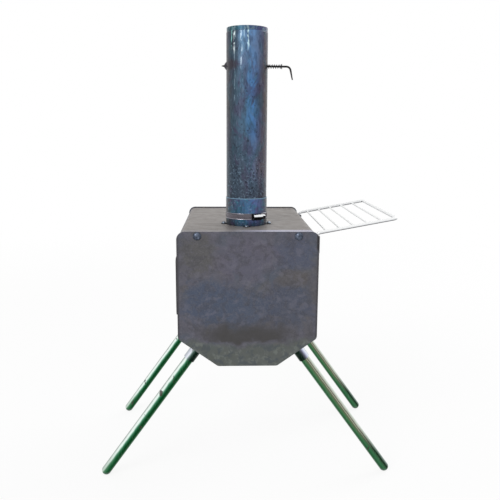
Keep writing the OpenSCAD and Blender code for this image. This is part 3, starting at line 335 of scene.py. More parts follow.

# The top of the folded sheet is browner than its walls, and painted paler where light falls on it, with
# patches drawn out from left to right. Along its rear edge, most of all right of the flue, runs a painted
# lilac highlight that fades out 36 mm in.
wrap_shift = (8.2, 1.0, 4.4)
wrap_scale, tree, shader, place, colour = mill_scale("wrap_mill_scale", wrap_shift)
colour = flecked(tree, place, colour, wrap_shift)
lit_top = add(tree, "MapRange", {0: facing_up(tree), 1: 0.6, 2: 0.95}, **smooth)
top_tone_and_light = layered(tree, tone("#7a7470"), [
    (cloud(tree, place, 0.010, (0.40, 0.68), 0.8, 4.0, (4, 1.2, 1), warp=0.6), "#736d69"),
    (cloud(tree, place, 0.014, (0.50, 0.66), 0.6, 5.0, (2, 1, 1), (2, 0, 0), 0.4), "#8b8582"),
    (cloud(tree, place, 0.0035, (0.50, 0.75), 0.5, 4.0, (2.5, 1, 1), (4, 0, 0)), "#64605e"),
])
axes = add(tree, "SeparateXYZ", {0: place})
rear_highlight_band = add(tree, "MapRange", {0: axes.outputs[1], 1: plate_low.y + 0.036, 2: plate_low.y + 0.020},
                **smooth)
right_part = add(tree, "MapRange", {0: axes.outputs[0], 1: body_x - 0.03, 2: body_x + 0.03, 3: 0.15, 4: 0.9},
                 **smooth)
lilac_highlight = add(tree, "Math", {0: rear_highlight_band, 1: right_part}, operation="MULTIPLY")
top_tone_and_light = layered(tree, top_tone_and_light, [(lilac_highlight, "#b9b8cc")])
colour = add(tree, "Mix", {0: lit_top, 6: colour, 7: top_tone_and_light}, data_type="RGBA")
satin(tree, shader, place, colour)
dress(["body_wrap"], wrap_scale)


# Welds on the body: short beads that hold the wrap to the end plates, rings round the leg sockets,
# and runs along the rack sockets, knuckles, keeper and air guides. They were laid by hand with an
# arc, so each bead is a row of ripples that glint, blued and browned by its own heat.
ripple = 0.0017
bead_sides = 12
tack_half = 0.0055
tack_r = 0.0011
top_tacks = (-0.075, -0.025, 0.025, 0.075)
under_tacks = (-0.022, 0.022)
side_tacks = (0.075, 0.125, 0.175)
ring_r = 0.0014
ring_steps = 280
ring_ripples = 34
rack_run_r = 0.0013
rack_run_off = 0.0031
fitting_run_r = 0.0012
guide_run_half = 0.006
guide_run_r = 0.0011
knuckle_h = 0.013
y_axis, z_axis = np.eye(3)[1:]
wrap_low, wrap_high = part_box("body_wrap")
front_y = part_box("front_plate")[1].y
# The legs splay 43 mm for every 60 mm that they come down.
lean = math.atan2(0.043, 0.060)
leg_socket_r = 0.00908
leg_socket_l = 0.030
leg_low, leg_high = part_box("leg_sockets")
root_x = leg_high.x - leg_socket_l * math.sin(lean) - leg_socket_r * math.cos(lean)
root_z = leg_high.z - leg_socket_r * math.sin(lean)


def tube(path, radius, sides, upright, closed=False):
    """Rows of points round a path: circles of that radius, square to it. The first point of each lies
    towards the cross product of upright and the path, so upright is never along the path."""
    if closed:
        along = np.roll(path, -1, axis=0) - np.roll(path, 1, axis=0)
    else:
        along = np.gradient(path, axis=0)
    along /= np.linalg.norm(along, axis=1, keepdims=True)
    side = np.cross(upright, along)
    side /= np.linalg.norm(side, axis=1, keepdims=True)
    over = np.cross(along, side)
    angle = (np.arange(sides) * 2 * math.pi / sides)[None, :, None]
    reach = np.broadcast_to(radius, (len(path),))[:, None, None]
    return path[:, None] + reach * (np.cos(angle) * side[:, None] + np.sin(angle) * over[:, None])


def skin(name, grids, material, body, closed=False):
    """One piece from grids of points. In each, every row closes on itself, and the first and the last row
    get a face, or join where closed is set. Seen along the rows' own order a row runs clockwise."""
    points = []
    faces = []
    count = 0
    for grid in grids:
        rows, columns = grid.shape[:2]
        number = count + np.arange(rows * columns).reshape(rows, columns)
        beside = np.roll(number, -1, axis=1)
        last = rows if closed else rows - 1
        onward = np.roll(number, -1, axis=0)
        onward_beside = np.roll(beside, -1, axis=0)
        quads = np.stack([number, beside, onward_beside, onward], axis=-1)[:last]
        faces += quads.reshape(-1, 4).tolist()
        if not closed:
            faces += [number[0, ::-1].tolist(), number[-1].tolist()]
        points.append(grid.reshape(-1, 3))
        count += rows * columns
    mesh = bpy.data.meshes.new(name)
    mesh.from_pydata(np.concatenate(points).tolist(), [], faces)
    mesh.shade_smooth()
    mesh.materials.append(material)
    piece = bpy.data.objects.new(name, mesh)
    bpy.context.scene.collection.objects.link(piece)
    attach(piece, body)
    return piece


def bead(start, end, radius):
    """A laid weld from start to end, in 8 steps to a ripple. Its radius swells by a fifth once in every
    ripple, as the size of a sine, and closes at both ends as the root of 1 less the eighth power of the
    way from the middle."""
    start = np.array(start, float)
    end = np.array(end, float)
    length = np.linalg.norm(end - start)
    share = np.linspace(0, 1, int(length / ripple) * 8 + 1)[:, None]
    swell = 0.84 + 0.2 * np.abs(np.sin(math.pi * length * share[:, 0] / ripple))
    ends = np.sqrt(np.clip(1 - (2 * share[:, 0] - 1) ** 8, 0.02, 1))
    return tube(start + share * (end - start), radius * swell * ends, bead_sides, y_axis)


def level_bead(x, y, z, half, radius):
    """A bead that runs from left to right, with its middle at x."""
    return bead((x - half, y, z), (x + half, y, z), radius)


def upright_bead(x, y, low, high, radius):
    """A bead that runs straight up."""
    return bead((x, y, low), (x, y, high), radius)


def socket_root(side, y):
    """Where a leg socket's middle meets the chamfer, and the way up along the chamfer."""
    return (np.array([body_x + side * (root_x - body_x), y, root_z]),
            np.array([side * math.cos(lean), 0, math.sin(lean)]))


def plain_metal(name, light, dark, roughness, metallic=1.0, size=0.004, depth=0.0001):
    """Metal with worn patches of that size between two colours, and a fine relief."""
    made, tree, shader, place = finish_of(name, metallic, roughness)
    colour = layered(tree, tone(dark), [(cloud(tree, place, size, (0.35, 0.7)), light)])
    surface(tree, shader, colour, cloud(tree, place, size * 2), (roughness * 0.8, roughness * 1.2),
            cloud(tree, place, size / 4, detail=2.0), depth)
    return made


weld_steel = plain_metal("arc_weld_steel", "#6d665f", "#39373f", 0.42, 0.8, 0.0025, 0.00008)
tacks = []
for y in (wrap_low.y + 0.0005, wrap_high.y - 0.0005):
    tacks += [level_bead(x, y, wrap_high.z, tack_half, tack_r) for x in top_tacks]
    tacks += [level_bead(x, y, wrap_low.z, tack_half, tack_r) for x in under_tacks]
    for side, wall_x in ((-1, wrap_low.x), (1, wrap_high.x)):
        root, up_chamfer = socket_root(side, y)
        tacks.append(bead(root - tack_half * up_chamfer, root + tack_half * up_chamfer, tack_r))
        for z in side_tacks:
            middle_z = wrap_low.z + z
            tacks.append(upright_bead(wall_x, y, middle_z - tack_half, middle_z + tack_half, tack_r))
skin("wrap_tacks", tacks, weld_steel, "stove")

# A ring lies 0.4 mm off its socket, and swells as a bead does.
rings = []
round_once = (np.arange(ring_steps) * 2 * math.pi / ring_steps)[:, None]
ring_swell = 0.86 + 0.2 * np.abs(np.sin(ring_ripples / 2 * round_once[:, 0]))
for side in (-1, 1):
    outward = np.array([side * math.sin(lean), 0, -math.cos(lean)])
    for y in (leg_low.y + leg_socket_r, leg_high.y - leg_socket_r):
        root, up_chamfer = socket_root(side, y)
        circle = np.cos(round_once) * up_chamfer + np.sin(round_once) * y_axis
        rings.append(tube(root + (leg_socket_r + 0.0004) * circle, ring_r * ring_swell, bead_sides, outward,
                          closed=True))
skin("leg_socket_welds", rings, weld_steel, "stove", closed=True)

# A run lies 0.3 to 0.6 mm inside a face, and stops 1 or 2 mm short of its piece's ends.
runs = []
rack_low, rack_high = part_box("rack_sockets")
rack_socket_r = (rack_high.x - rack_low.x) / 2
for y in (rack_low.y + rack_socket_r, rack_high.y - rack_socket_r):
    for off in (-rack_run_off, rack_run_off):
        runs.append(upright_bead(rack_low.x + 0.0005, y + off, rack_low.z + 0.002, rack_high.z - 0.002,
                                 rack_run_r))
hinge_low, hinge_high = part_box("frame_knuckles")
for z in (hinge_low.z, hinge_high.z - knuckle_h):
    runs.append(upright_bead(hinge_low.x + 0.0006, front_y + 0.0005, z + 0.001, z + knuckle_h - 0.001,
                             fitting_run_r))
keep_low, keep_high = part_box("latch_keeper")
runs.append(upright_bead(keep_high.x, front_y + 0.0003, keep_low.z + 0.001, keep_high.z - 0.001,
                         fitting_run_r))
guide_low, guide_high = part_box("air_guides")
for x in (body_x - 0.035, body_x, body_x + 0.035):
    for z in (guide_low.z, guide_high.z):
        runs.append(level_bead(x, front_y + 0.0003, z, guide_run_half, guide_run_r))
skin("fitting_welds", runs, weld_steel, "stove")


# Screws of the end plates: steel, with round heads turned on a lathe and slotted, which go into threaded
# blocks inside the body. They were blued by heating, so they show slate blue with a soft glint.
dress(["rear_plate_screws", "front_plate_screws"],
      plain_metal("blued_screw_steel", "#6e7788", "#3d4452", 0.36, 0.85, 0.003))


# Legs: polished stainless tubes pushed into short welded sockets, each closed by a domed plug. Their
# colour is a painted reflection: a green ground on the side that faces down and a white sky on the side
# that faces up. The sockets are the same tube, with a darker painted reflection.
def fill_row(row, stops):
    """Gives a row of colours its stops, each a place from 0 to 1 and a colour, and gives it back."""
    elements = row.color_ramp.elements
    while len(elements) < len(stops):
        elements.new(0.5)
    for element, (position, code) in zip(elements, stops):
        element.position = position
        element.color = tone(code)
    return row


def polished_tube(name, left_rows, right_rows, scuffed, scrape):
    """Polished tube with a painted reflection: its colour follows how far the surface faces up, across the
    tube's own axis, from -1 to 1. That measure is lifted and wanders a little along the tube, as the ground
    does in a mirror. Each side has one row of colours for most of its height and another near the foot,
    and the end is greyer. It is scuffed in spots 9 mm wide, and scraped within about 5 mm of one place. The
    polishing lines run along it, 1.2 mm apart, coarser than the real ones, so that they show."""
    lift = 0.23
    wander = 0.2
    made, tree, shader, place = finish_of(name, 1.0, 0.16)
    normal = add(tree, "TexCoord").outputs["Normal"]
    side_axes = add(tree, "SeparateXYZ", {0: place})
    side_x = add(tree, "Math", {0: side_axes.outputs[0], 1: body_x}, operation="SUBTRACT")
    side = add(tree, "Math", {0: side_x}, operation="SIGN")
    outward = add(tree, "Math", {0: side, 1: math.cos(lean)}, operation="MULTIPLY")
    across = add(tree, "CombineXYZ", {0: outward, 2: math.sin(lean)})
    skyward = add(tree, "VectorMath", {0: normal, 1: across}, operation="DOT_PRODUCT")
    along = cloud(tree, place, 0.006, detail=2.0, stretch=(1, 1, 9))
    bent = add(tree, "Math", {0: along, 1: wander, 2: skyward}, operation="MULTIPLY_ADD")
    share = add(tree, "MapRange", {0: bent, 1: lift - 1, 2: lift + 1})
    tones = [fill_row(add(tree, "ValToRGB", {0: share}), stops) for stops in left_rows + right_rows]
    high = side_axes.outputs[2]
    left_low = add(tree, "MapRange", {0: high, 1: 0.055, 2: 0.010}, **smooth)
    left_tone = add(tree, "Mix", {0: left_low, 6: tones[0], 7: tones[1]}, data_type="RGBA")
    right_low = add(tree, "MapRange", {0: high, 1: 0.085, 2: 0.035}, **smooth)
    right_tone = add(tree, "Mix", {0: right_low, 6: tones[2], 7: tones[3]}, data_type="RGBA")
    colour = add(tree, "Mix", {0: side, 6: left_tone, 7: right_tone}, data_type="RGBA")
    greyer_end = add(tree, "MapRange", {0: high, 1: 0.009, 2: 0.003, 4: 0.65}, **smooth)
    colour = layered(tree, colour, [
        (cloud(tree, place, 0.009, (0.66, 0.71), scuffed, 4.0, (1, 1, 2.5), (2.0, 1.0, 0.5)), "#3f3733"),
        (cloud(tree, place, 0.0012, (0.5, 0.8), 0.06, 2.0, (1, 1, 12)), "#d9e2dc"),
        (greyer_end, "#65736b"),
    ])
    from_scrape = add(tree, "VectorMath", {0: place, 1: tuple(scrape)}, operation="SUBTRACT")
    scrape_reach = add(tree, "VectorMath", {0: from_scrape}, operation="LENGTH")
    chipped = cloud(tree, place, 0.006, detail=4.0, warp=1.0)
    chipped = add(tree, "Math", {0: chipped, 1: 0.020, 2: scrape_reach}, operation="MULTIPLY_ADD")
    scraped = add(tree, "MapRange", {0: chipped, 1: 0.0150, 2: 0.0135, 4: 0.9}, **smooth)
    colour = layered(tree, colour, [(scraped, "#453b38")])
    surface(tree, shader, colour, cloud(tree, place, 0.005), (0.12, 0.2),
            cloud(tree, place, 0.0008, detail=2.0, stretch=(1, 1, 14)), 0.00002)
    return made


foot_low, foot_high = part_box("foot_rear_left")
rear_left_foot = np.array(foot_low + foot_high) / 2
rear_left_root = np.array([2 * body_x - root_x, leg_low.y + leg_socket_r, root_z])
# One scrape is 0.62 of the way up the rear left leg, on its left and rear side.
leg_scrape = rear_left_foot + 0.62 * (rear_left_root - rear_left_foot) + (-0.005, -0.0055, 0.002)
leg_tube = polished_tube(
    "polished_stainless_tube",
    [[(0.0, "#346a4a"), (0.12, "#0e4a24"), (0.32, "#06391a"), (0.46, "#1c5c36"), (0.58, "#478264"),
      (0.66, "#a8ccba"), (0.73, "#f2fff9"), (0.84, "#e6f0ea"), (0.92, "#94a09a"), (1.0, "#78837e")],
     [(0.0, "#2a5a3a"), (0.12, "#0e4422"), (0.27, "#114a28"), (0.38, "#1b5833"), (0.47, "#2d6a41"),
      (0.56, "#437654"), (0.64, "#5a8468"), (0.71, "#b0cab8"), (0.80, "#c8d8cd"), (1.0, "#7c8881")]],
    [[(0.0, "#4a785a"), (0.12, "#245432"), (0.34, "#44754e"), (0.46, "#58694f"), (0.57, "#687058"),
      (0.63, "#b4b8a4"), (0.685, "#1c2217"), (0.74, "#9a998c"), (0.92, "#d4e0d4"), (1.0, "#a5b0a8")],
     [(0.0, "#4a7055"), (0.12, "#1e5230"), (0.38, "#386e4a"), (0.56, "#36583e"), (0.67, "#122c1b"),
      (0.75, "#1c3424"), (0.84, "#60756a"), (1.0, "#a5b0a8")]],
    0.8, leg_scrape)
dress(["leg_rear_left", "leg_front_left", "foot_rear_left", "foot_front_left",
       "leg_rear_right", "leg_front_right", "foot_rear_right", "foot_front_right"], leg_tube)
socket_tube = polished_tube(
    "darker_socket_tube",
    2 * [[(0.0, "#25382f"), (0.14, "#081a12"), (0.38, "#10241b"), (0.54, "#4a6058"), (0.62, "#93a5a2"),
          (0.70, "#eef1fa"), (0.80, "#d4d9e2"), (1.0, "#8d9399")]],
    2 * [[(0.0, "#22342b"), (0.14, "#071b10"), (0.42, "#12241c"), (0.56, "#4a4e56"), (0.66, "#74768a"),
          (0.76, "#b4b9d0"), (0.88, "#e8edf8"), (1.0, "#98a0a6")]],
    0.5, rear_left_root)
dress(["leg_sockets"], socket_tube)


# Flue pipe and its collar: thin steel sheet rolled into tubes, and blued by the fire. The heat drew teal,
# blue and violet zones that follow the pipe's side, and dark spots low down. Near the top it has painted
# highlights as pale streaks.
# The clamp's band stands 0.85 mm out from the collar.
band_low, band_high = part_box("clamp_band")
flue_x = (band_low.x + band_high.x) / 2
flue_y = (band_low.y + band_high.y) / 2
top_z = wrap_high.z
collar_r = (band_high.x - band_low.x) / 2 - 0.00085


def blued(name, stops, wander):
    """Heat-blued steel whose zones follow the angle round the flue, moved by a slow noise. It also gives
    that angle, 0 towards the rear plate and growing to +X, and the height over the stove's top."""
    made, tree, shader, place = finish_of(name, 1.0, 0.33)
    axes = add(tree, "SeparateXYZ", {0: place})
    off_x = add(tree, "Math", {0: axes.outputs[0], 1: flue_x}, operation="SUBTRACT")
    off_y = add(tree, "Math", {0: flue_y, 1: axes.outputs[1]}, operation="SUBTRACT")
    angle = add(tree, "Math", {0: off_x, 1: off_y}, operation="ARCTAN2")
    height = add(tree, "Math", {0: axes.outputs[2], 1: top_z}, operation="SUBTRACT")
    slow = cloud(tree, place, 0.05, stretch=(1, 1, 1.8), warp=0.5)
    moved = add(tree, "Math", {0: slow, 1: wander, 2: angle}, operation="MULTIPLY_ADD")
    share = add(tree, "MapRange", {0: moved, 1: wander / 2 - math.pi, 2: wander / 2 + math.pi})
    return made, tree, shader, place, angle, height, fill_row(add(tree, "ValToRGB", {0: share}), stops)


def from_flue(tree, place):
    """How far a place lies from the flue's upright axis."""
    flat = add(tree, "VectorMath", {0: place, 1: (flue_x, flue_y, 0)}, operation="SUBTRACT")
    flat = add(tree, "VectorMath", {0: flat, 1: (1, 1, 0)}, operation="MULTIPLY")
    return add(tree, "VectorMath", {0: flat}, operation="LENGTH")


pipe_blue, tree, shader, place, angle, height, colour = blued("blued_pipe_steel", [
    (0.0, "#476188"), (0.10, "#435b74"), (0.19, "#43474e"), (0.28, "#494544"), (0.36, "#424d59"),
    (0.42, "#455869"), (0.475, "#4b677f"), (0.51, "#507aa6"), (0.55, "#4e78aa"), (0.58, "#4a5d80"),
    (0.61, "#4b4b5c"), (0.65, "#4e474d"), (0.70, "#504845"), (0.80, "#48464c"), (0.90, "#485a7c"),
    (1.0, "#476188")], 0.7)
low_zone = add(tree, "MapRange", {0: height, 1: 0.170, 2: 0.095}, **smooth)
low_share = add(tree, "Math", {0: low_zone, 1: 0.72}, operation="MULTIPLY")
to_right = add(tree, "MapRange", {0: angle, 1: -0.7, 2: 0.7}, **smooth)
low_tone = layered(tree, tone("#3b4855"), [(to_right, "#5c555a")])
colour = add(tree, "Mix", {0: low_share, 6: colour, 7: low_tone}, data_type="RGBA")
foot_zone = add(tree, "MapRange", {0: height, 1: 0.145, 2: 0.075}, **smooth)
foot_dark = add(tree, "MapRange", {0: height, 1: 0.085, 2: 0.043}, **smooth)
foot_right = add(tree, "MapRange", {0: to_right, 3: 0.30, 4: 0.75})
foot_dark = add(tree, "Math", {0: foot_dark, 1: foot_right}, operation="MULTIPLY")
dark_drop = cloud(tree, place, 0.0034, (0.55, 0.65), 0.70, 3.0, (1, 1, 1.1), (1, 2, 3), 0.5)
dark_drop = add(tree, "Math", {0: dark_drop, 1: foot_zone}, operation="MULTIPLY")
pale_drop = cloud(tree, place, 0.0028, (0.54, 0.66), 0.50, 3.0, (1, 1, 1.1), (7, 4, 1), 0.5)
pale_drop = add(tree, "Math", {0: pale_drop, 1: foot_zone}, operation="MULTIPLY")
colour = layered(tree, colour, [
    (cloud(tree, place, 0.022, (0.50, 0.60), 0.60, 5.0, (1, 1, 2.0), (4, 0, 2), 1.0), "#484258"),
    (cloud(tree, place, 0.018, (0.50, 0.62), 0.50, 5.0, (1, 1, 2.0), (9, 3, 5), 1.0), "#3a5663"),
    (cloud(tree, place, 0.010, (0.54, 0.66), 0.40, 5.0, (1, 1, 1.6), (2, 7, 4), 0.4), "#363c4a"),
    (cloud(tree, place, 0.0040, (0.44, 0.70), 0.40, 4.0, (1, 1, 2.6), (3, 3, 0)), "#2f3540"),
    (cloud(tree, place, 0.0028, (0.50, 0.76), 0.24, 4.0, (1, 1, 4)), "#7d90a6"),
    (cloud(tree, place, 0.0060, (0.60, 0.68), 0.55, 3.0, (1, 1, 1.2), (5, 1, 9)), "#2d2e3a"),
    (foot_dark, "#393c46"),
    (pale_drop, "#74899c"),
    (dark_drop, "#23272e"),
])
# A painted sheen of clear blue on the top quarter, which follows the cosine of 2.2 times the angle from 0.2
# right of the pipe's rear, and painted highlights as pale wavy streaks that run down from the rim: angle
# round the pipe, half width, where the streak ends, how strongly it shows, and its colour.
high_zone = add(tree, "MapRange", {0: height, 1: 0.215, 2: 0.27, 4: 0.38}, **smooth)
front_part = add(tree, "Math", {0: angle, 1: 2.2, 2: -0.45}, operation="MULTIPLY_ADD")
front_part = add(tree, "Math", {0: front_part}, operation="COSINE")
sheen = add(tree, "Math", {0: high_zone, 1: front_part}, operation="MULTIPLY", use_clamp=True)
colour = layered(tree, colour, [(sheen, "#7fa0c8")])
top_dark = cloud(tree, place, 0.0050, (0.47, 0.60), 1.0, 4.0, (1, 1, 3.0), (8, 2, 6), 0.6)
top_dark = add(tree, "Math", {0: top_dark, 1: high_zone}, operation="MULTIPLY")
colour = layered(tree, colour, [(top_dark, "#131c33")])
broken = cloud(tree, place, 0.0045, (0.42, 0.58), 1.0, 4.0, (1, 1, 2.5), (6, 6, 6), 0.5)
highlight_streaks = [
    (-0.84, 0.060, 0.262, 1.0, "#9adcd6"), (-0.69, 0.075, 0.252, 1.0, "#ecfbfc"),
    (-0.66, 0.030, 0.180, 0.50, "#9fb8c6"), (-0.30, 0.060, 0.232, 0.75, "#a6bac9"),
    (-0.17, 0.035, 0.262, 0.60, "#a9c8dc"), (0.00, 0.080, 0.260, 1.0, "#d6f6fc"),
]
sway = 0.20
for middle, half, low, most, code in highlight_streaks:
    wobble = cloud(tree, place, 0.020, stretch=(60, 60, 1), shift=(0, 0, 9 * middle))
    moved = add(tree, "Math", {0: wobble, 1: sway, 2: angle}, operation="MULTIPLY_ADD")
    off = add(tree, "Math", {0: moved, 1: middle + sway / 2}, operation="SUBTRACT")
    off = add(tree, "Math", {0: off}, operation="ABSOLUTE")
    line = add(tree, "MapRange", {0: off, 1: half, 2: half / 5, 4: most}, **smooth)
    fade = add(tree, "MapRange", {0: height, 1: low, 2: low + 0.02}, **smooth)
    line = add(tree, "Math", {0: line, 1: fade}, operation="MULTIPLY")
    line = add(tree, "Math", {0: line, 1: broken}, operation="MULTIPLY")
    colour = layered(tree, colour, [(line, code)])
# A dark smudge, as of smoke, lies round each of the two holes for the damper's rod: angle round the pipe,
# half width as an angle, half height, and how strongly it shows.
smudges = [(-1.0, 0.60, 0.010, 0.75), (1.5, 0.30, 0.008, 0.7)]
hole_height = 0.244
smudge_noise = cloud(tree, place, 0.006, detail=4.0, warp=0.5)
for middle, half_angle, half_height, most in smudges:
    off_angle = add(tree, "Math", {0: angle, 1: middle}, operation="SUBTRACT")
    off_height = add(tree, "Math", {0: height, 1: hole_height}, operation="SUBTRACT")
    off = add(tree, "CombineXYZ", {0: off_angle, 1: off_height})
    scaled = add(tree, "VectorMath", {0: off, 1: (1 / half_angle, 1 / half_height, 0)}, operation="MULTIPLY")
    reach = add(tree, "VectorMath", {0: scaled}, operation="LENGTH")
    worn = add(tree, "Math", {0: smudge_noise, 1: 0.9, 2: reach}, operation="MULTIPLY_ADD")
    smudge = add(tree, "MapRange", {0: worn, 1: 1.6, 2: 0.9, 4: most}, **smooth)
    colour = layered(tree, colour, [(smudge, "#3d373e")])
# The drawn-in rim is teal on the left and violet on the right.
rim = add(tree, "MapRange", {0: height, 1: 0.2925, 2: 0.2935, 4: 0.72})
rim_spot = cloud(tree, place, 0.005, (0.50, 0.62), warp=0.5)
rim_spot = add(tree, "Math", {0: rim_spot, 1: rim}, operation="MULTIPLY")
rim_tone = layered(tree, tone("#27505c"), [(to_right, "#403a60")])
colour = add(tree, "Mix", {0: rim, 6: colour, 7: rim_tone}, data_type="RGBA")
colour = layered(tree, colour, [(rim_spot, "#6b828b")])
surface(tree, shader, colour, cloud(tree, place, 0.006), (0.26, 0.42),
        cloud(tree, place, 0.01, stretch=(1, 1, 6)), 0.0004)
dress(["flue_pipe"], pipe_blue)

collar_blue, tree, shader, place, angle, height, colour = blued("blued_collar_steel", [
    (0.0, "#46628a"), (0.12, "#44566c"), (0.27, "#4a4746"), (0.335, "#494a50"), (0.375, "#434c5e"),
    (0.43, "#3f5a73"), (0.49, "#47698a"), (0.54, "#516a96"), (0.59, "#596188"), (0.64, "#4f566a"),
    (0.69, "#504b4c"), (0.78, "#4d4845"), (0.88, "#4c5068"), (1.0, "#46628a")], 0.4)
# A painted highlight runs along the top edge and painted shade lies on the flange's ears; the foot is darker.
top_edge_highlight = add(tree, "MapRange", {0: height, 1: 0.0422, 2: 0.0430, 4: 0.75})
from_axis = from_flue(tree, place)
ear_shade = add(tree, "MapRange", {0: from_axis, 1: collar_r + 0.0004, 2: collar_r + 0.0012, 4: 0.85})
collar_foot_dark = add(tree, "MapRange", {0: height, 1: 0.008, 2: 0.0, 4: 0.5}, **smooth)
colour = layered(tree, colour, [
    (cloud(tree, place, 0.010, (0.48, 0.62), 0.50, 4.0, shift=(2, 5, 1), warp=0.8), "#3b7080"),
    (cloud(tree, place, 0.008, (0.52, 0.64), 0.60, 4.0, shift=(8, 1, 4), warp=0.8), "#584c6e"),
    (cloud(tree, place, 0.0036, (0.44, 0.68), 0.50, 4.0, (1, 1, 3)), "#2b323e"),
    (cloud(tree, place, 0.0030, (0.54, 0.72), 0.30, 4.0, (1, 1, 1.5), (3, 8, 2)), "#8fb0c6"),
    (collar_foot_dark, "#35353a"),
    (ear_shade, "#2d2c30"),
    (top_edge_highlight, "#86a9c0"),
])
surface(tree, shader, colour, cloud(tree, place, 0.005), (0.26, 0.42), cloud(tree, place, 0.006), 0.0003)
dress(["flue_collar"], collar_blue)


# Hose clamp: a stainless band with rolled edges and a row of slots for the worm, its pressed housing
# and the worm screw. Their colour is a painted reflection: the sky where they face up, and the dark
# stove where they face down.
def mirrored(name, sky, ground, roughness, low=-0.25, high=0.25):
    """Bright metal with a painted reflection: the sky's colour where it faces up and the ground's where it
    faces down, also once its piece has turned."""
    made, tree, shader, place = finish_of(name, 1.0, roughness)
    skyward = add(tree, "MapRange", {0: facing_up(tree, "NewGeometry"), 1: low, 2: high}, **smooth)
    rubbed = cloud(tree, place, 0.003, (0.5, 0.8), 0.15)
    colour = layered(tree, tone(ground), [(skyward, sky), (rubbed, "#8b8c90")])
    return made, tree, shader, place, colour


clamp_steel, tree, shader, place, colour = mirrored("pressed_stainless", "#eef0f2", "#17171b", 0.22, 0.0, 0.3)
surface(tree, shader, colour, cloud(tree, place, 0.004), (0.18, 0.28), cloud(tree, place, 0.001), 0.00004)
dress(["clamp_housing", "clamp_screw"], clamp_steel)

# The band's thickness is 0.62 of the full one, and within the roll at each edge the sine of half a turn
# adds the rest. A slot leaves 0.12 of it, and takes 0.42 of each pitch, measured along the band plus 0.12
# of the height, so that it slants with the worm's thread. The slots run from 0.25 to 2.6 radians past the
# housing, where the band's free end lies.
band_steps = 900
band_t = 0.0007
band_r = (band_high.x - band_low.x) / 2 - band_t
band_half = (band_high.z - band_low.z) / 2
band_z = (band_high.z + band_low.z) / 2
edge_roll = 0.0011
slot_pitch = 0.0026
slot_half = 0.0024
slot_share = 0.42
slot_slant = 0.12
slot_start, slot_end = 0.25, 2.6
slot_floor = 0.12
flat_part = 0.62
housing_turn = math.radians(26 - 90)
down = band_half * np.cos(np.linspace(0, math.pi, 41))[None, :]
near_edge = np.clip((np.abs(down) - band_half + edge_roll) / edge_roll, 0, 1)
round_band = (np.arange(band_steps) * 2 * math.pi / band_steps)[:, None]
thick = band_t * (flat_part + (1 - flat_part) * np.sin(math.pi * near_edge))
past_housing = np.mod(round_band - housing_turn, 2 * math.pi)
worm_mark = np.mod((band_r * past_housing + slot_slant * down) / slot_pitch, 1.0)
slotted = (past_housing > slot_start) & (past_housing < slot_end)
in_slot = (worm_mark < slot_share) & (np.abs(down) < slot_half) & slotted
outer = band_r + np.where(in_slot, band_t * slot_floor, thick)
inner = np.full((len(round_band), 3), band_r)
around = np.concatenate([outer, inner], axis=1)
heights = np.concatenate([down, band_half * np.array([[-1.0, 0.0, 1.0]])], axis=1)
band_grid = np.stack([flue_x + around * np.cos(round_band), flue_y + around * np.sin(round_band),
                      band_z + heights + 0 * around], axis=-1)
band_steel, tree, shader, place, colour = mirrored("rolled_stainless_band", "#7c7880", "#4a464b", 0.25)
from_axis = from_flue(tree, place)
# The band's colour is a painted reflection; its rolled edges get painted shade below and a painted highlight
# above, its slots painted shade.
ridge = add(tree, "MapRange", {0: from_axis, 1: band_r + 0.70 * band_t, 2: band_r + 0.85 * band_t})
ridge_highlight = add(tree, "MapRange", {0: facing_up(tree), 1: -0.15, 2: 0.15}, **smooth)
ridge_highlight = add(tree, "Math", {0: ridge, 1: ridge_highlight}, operation="MULTIPLY")
slot_shade = add(tree, "MapRange", {0: from_axis, 1: band_r + 0.45 * band_t, 2: band_r + 0.20 * band_t})
colour = layered(tree, colour, [(ridge, "#34333a"), (ridge_highlight, "#a9a8b2"), (slot_shade, "#1b1a1d")])
surface(tree, shader, colour, cloud(tree, place, 0.003), (0.2, 0.3), cloud(tree, place, 0.0008), 0.00003)
clamp_ring = skin("clamp_ring", [band_grid], band_steel, "stove", closed=True)
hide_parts("clamp_band")
# The fasteners are plated with bright zinc, which gives them a pale blue-grey gleam.
zinc = plain_metal("zinc_plated_steel", "#a9b4c2", "#5f6874", 0.32)
dress(["collar_screws", "collar_nuts", "hinge_pins", "door_rivets", "latch_bolt", "latch_nut",
       "latch_grip_nut", "air_knob"], zinc)


# Damper: a blackened steel rod with a soft gleam, a cast iron plate pinned to it, dull, grey and grainy,
# and a coil of drawn wire, bright with a painted reflection, that presses on the pipe and on a washer, so
# that the plate stays as it is turned.
def coil(node, axis, wire, turns):
    """Rows of points of a wire spring that fills a node's box along one axis: a circle whose height grows
    with the angle, in 28 steps to a turn. The last three quarters of a turn at each end lie closed, with
    a rise of only 0.78 of the wire."""
    low, high = (np.array(corner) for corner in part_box(node))
    second = (axis + 1) % 3
    third = (axis + 2) % 3
    middle = (low + high) / 2
    mean_r = (high - low)[second] / 2 - wire / 2
    angle = np.linspace(0, turns * 2 * math.pi, int(turns * 28) + 1)
    span = high[axis] - low[axis] - wire
    shut = 1.5 * math.pi
    rise = 0.78 * wire
    path = np.empty((len(angle), 3))
    path[:, axis] = low[axis] + wire / 2 + np.interp(
        angle, [0, shut, angle[-1] - shut, angle[-1]], [0, rise, span - rise, span])
    path[:, second] = middle[second] + mean_r * np.cos(angle)
    path[:, third] = middle[third] + mean_r * np.sin(angle)
    return tube(path, wire / 2, 12, np.eye(3)[axis])


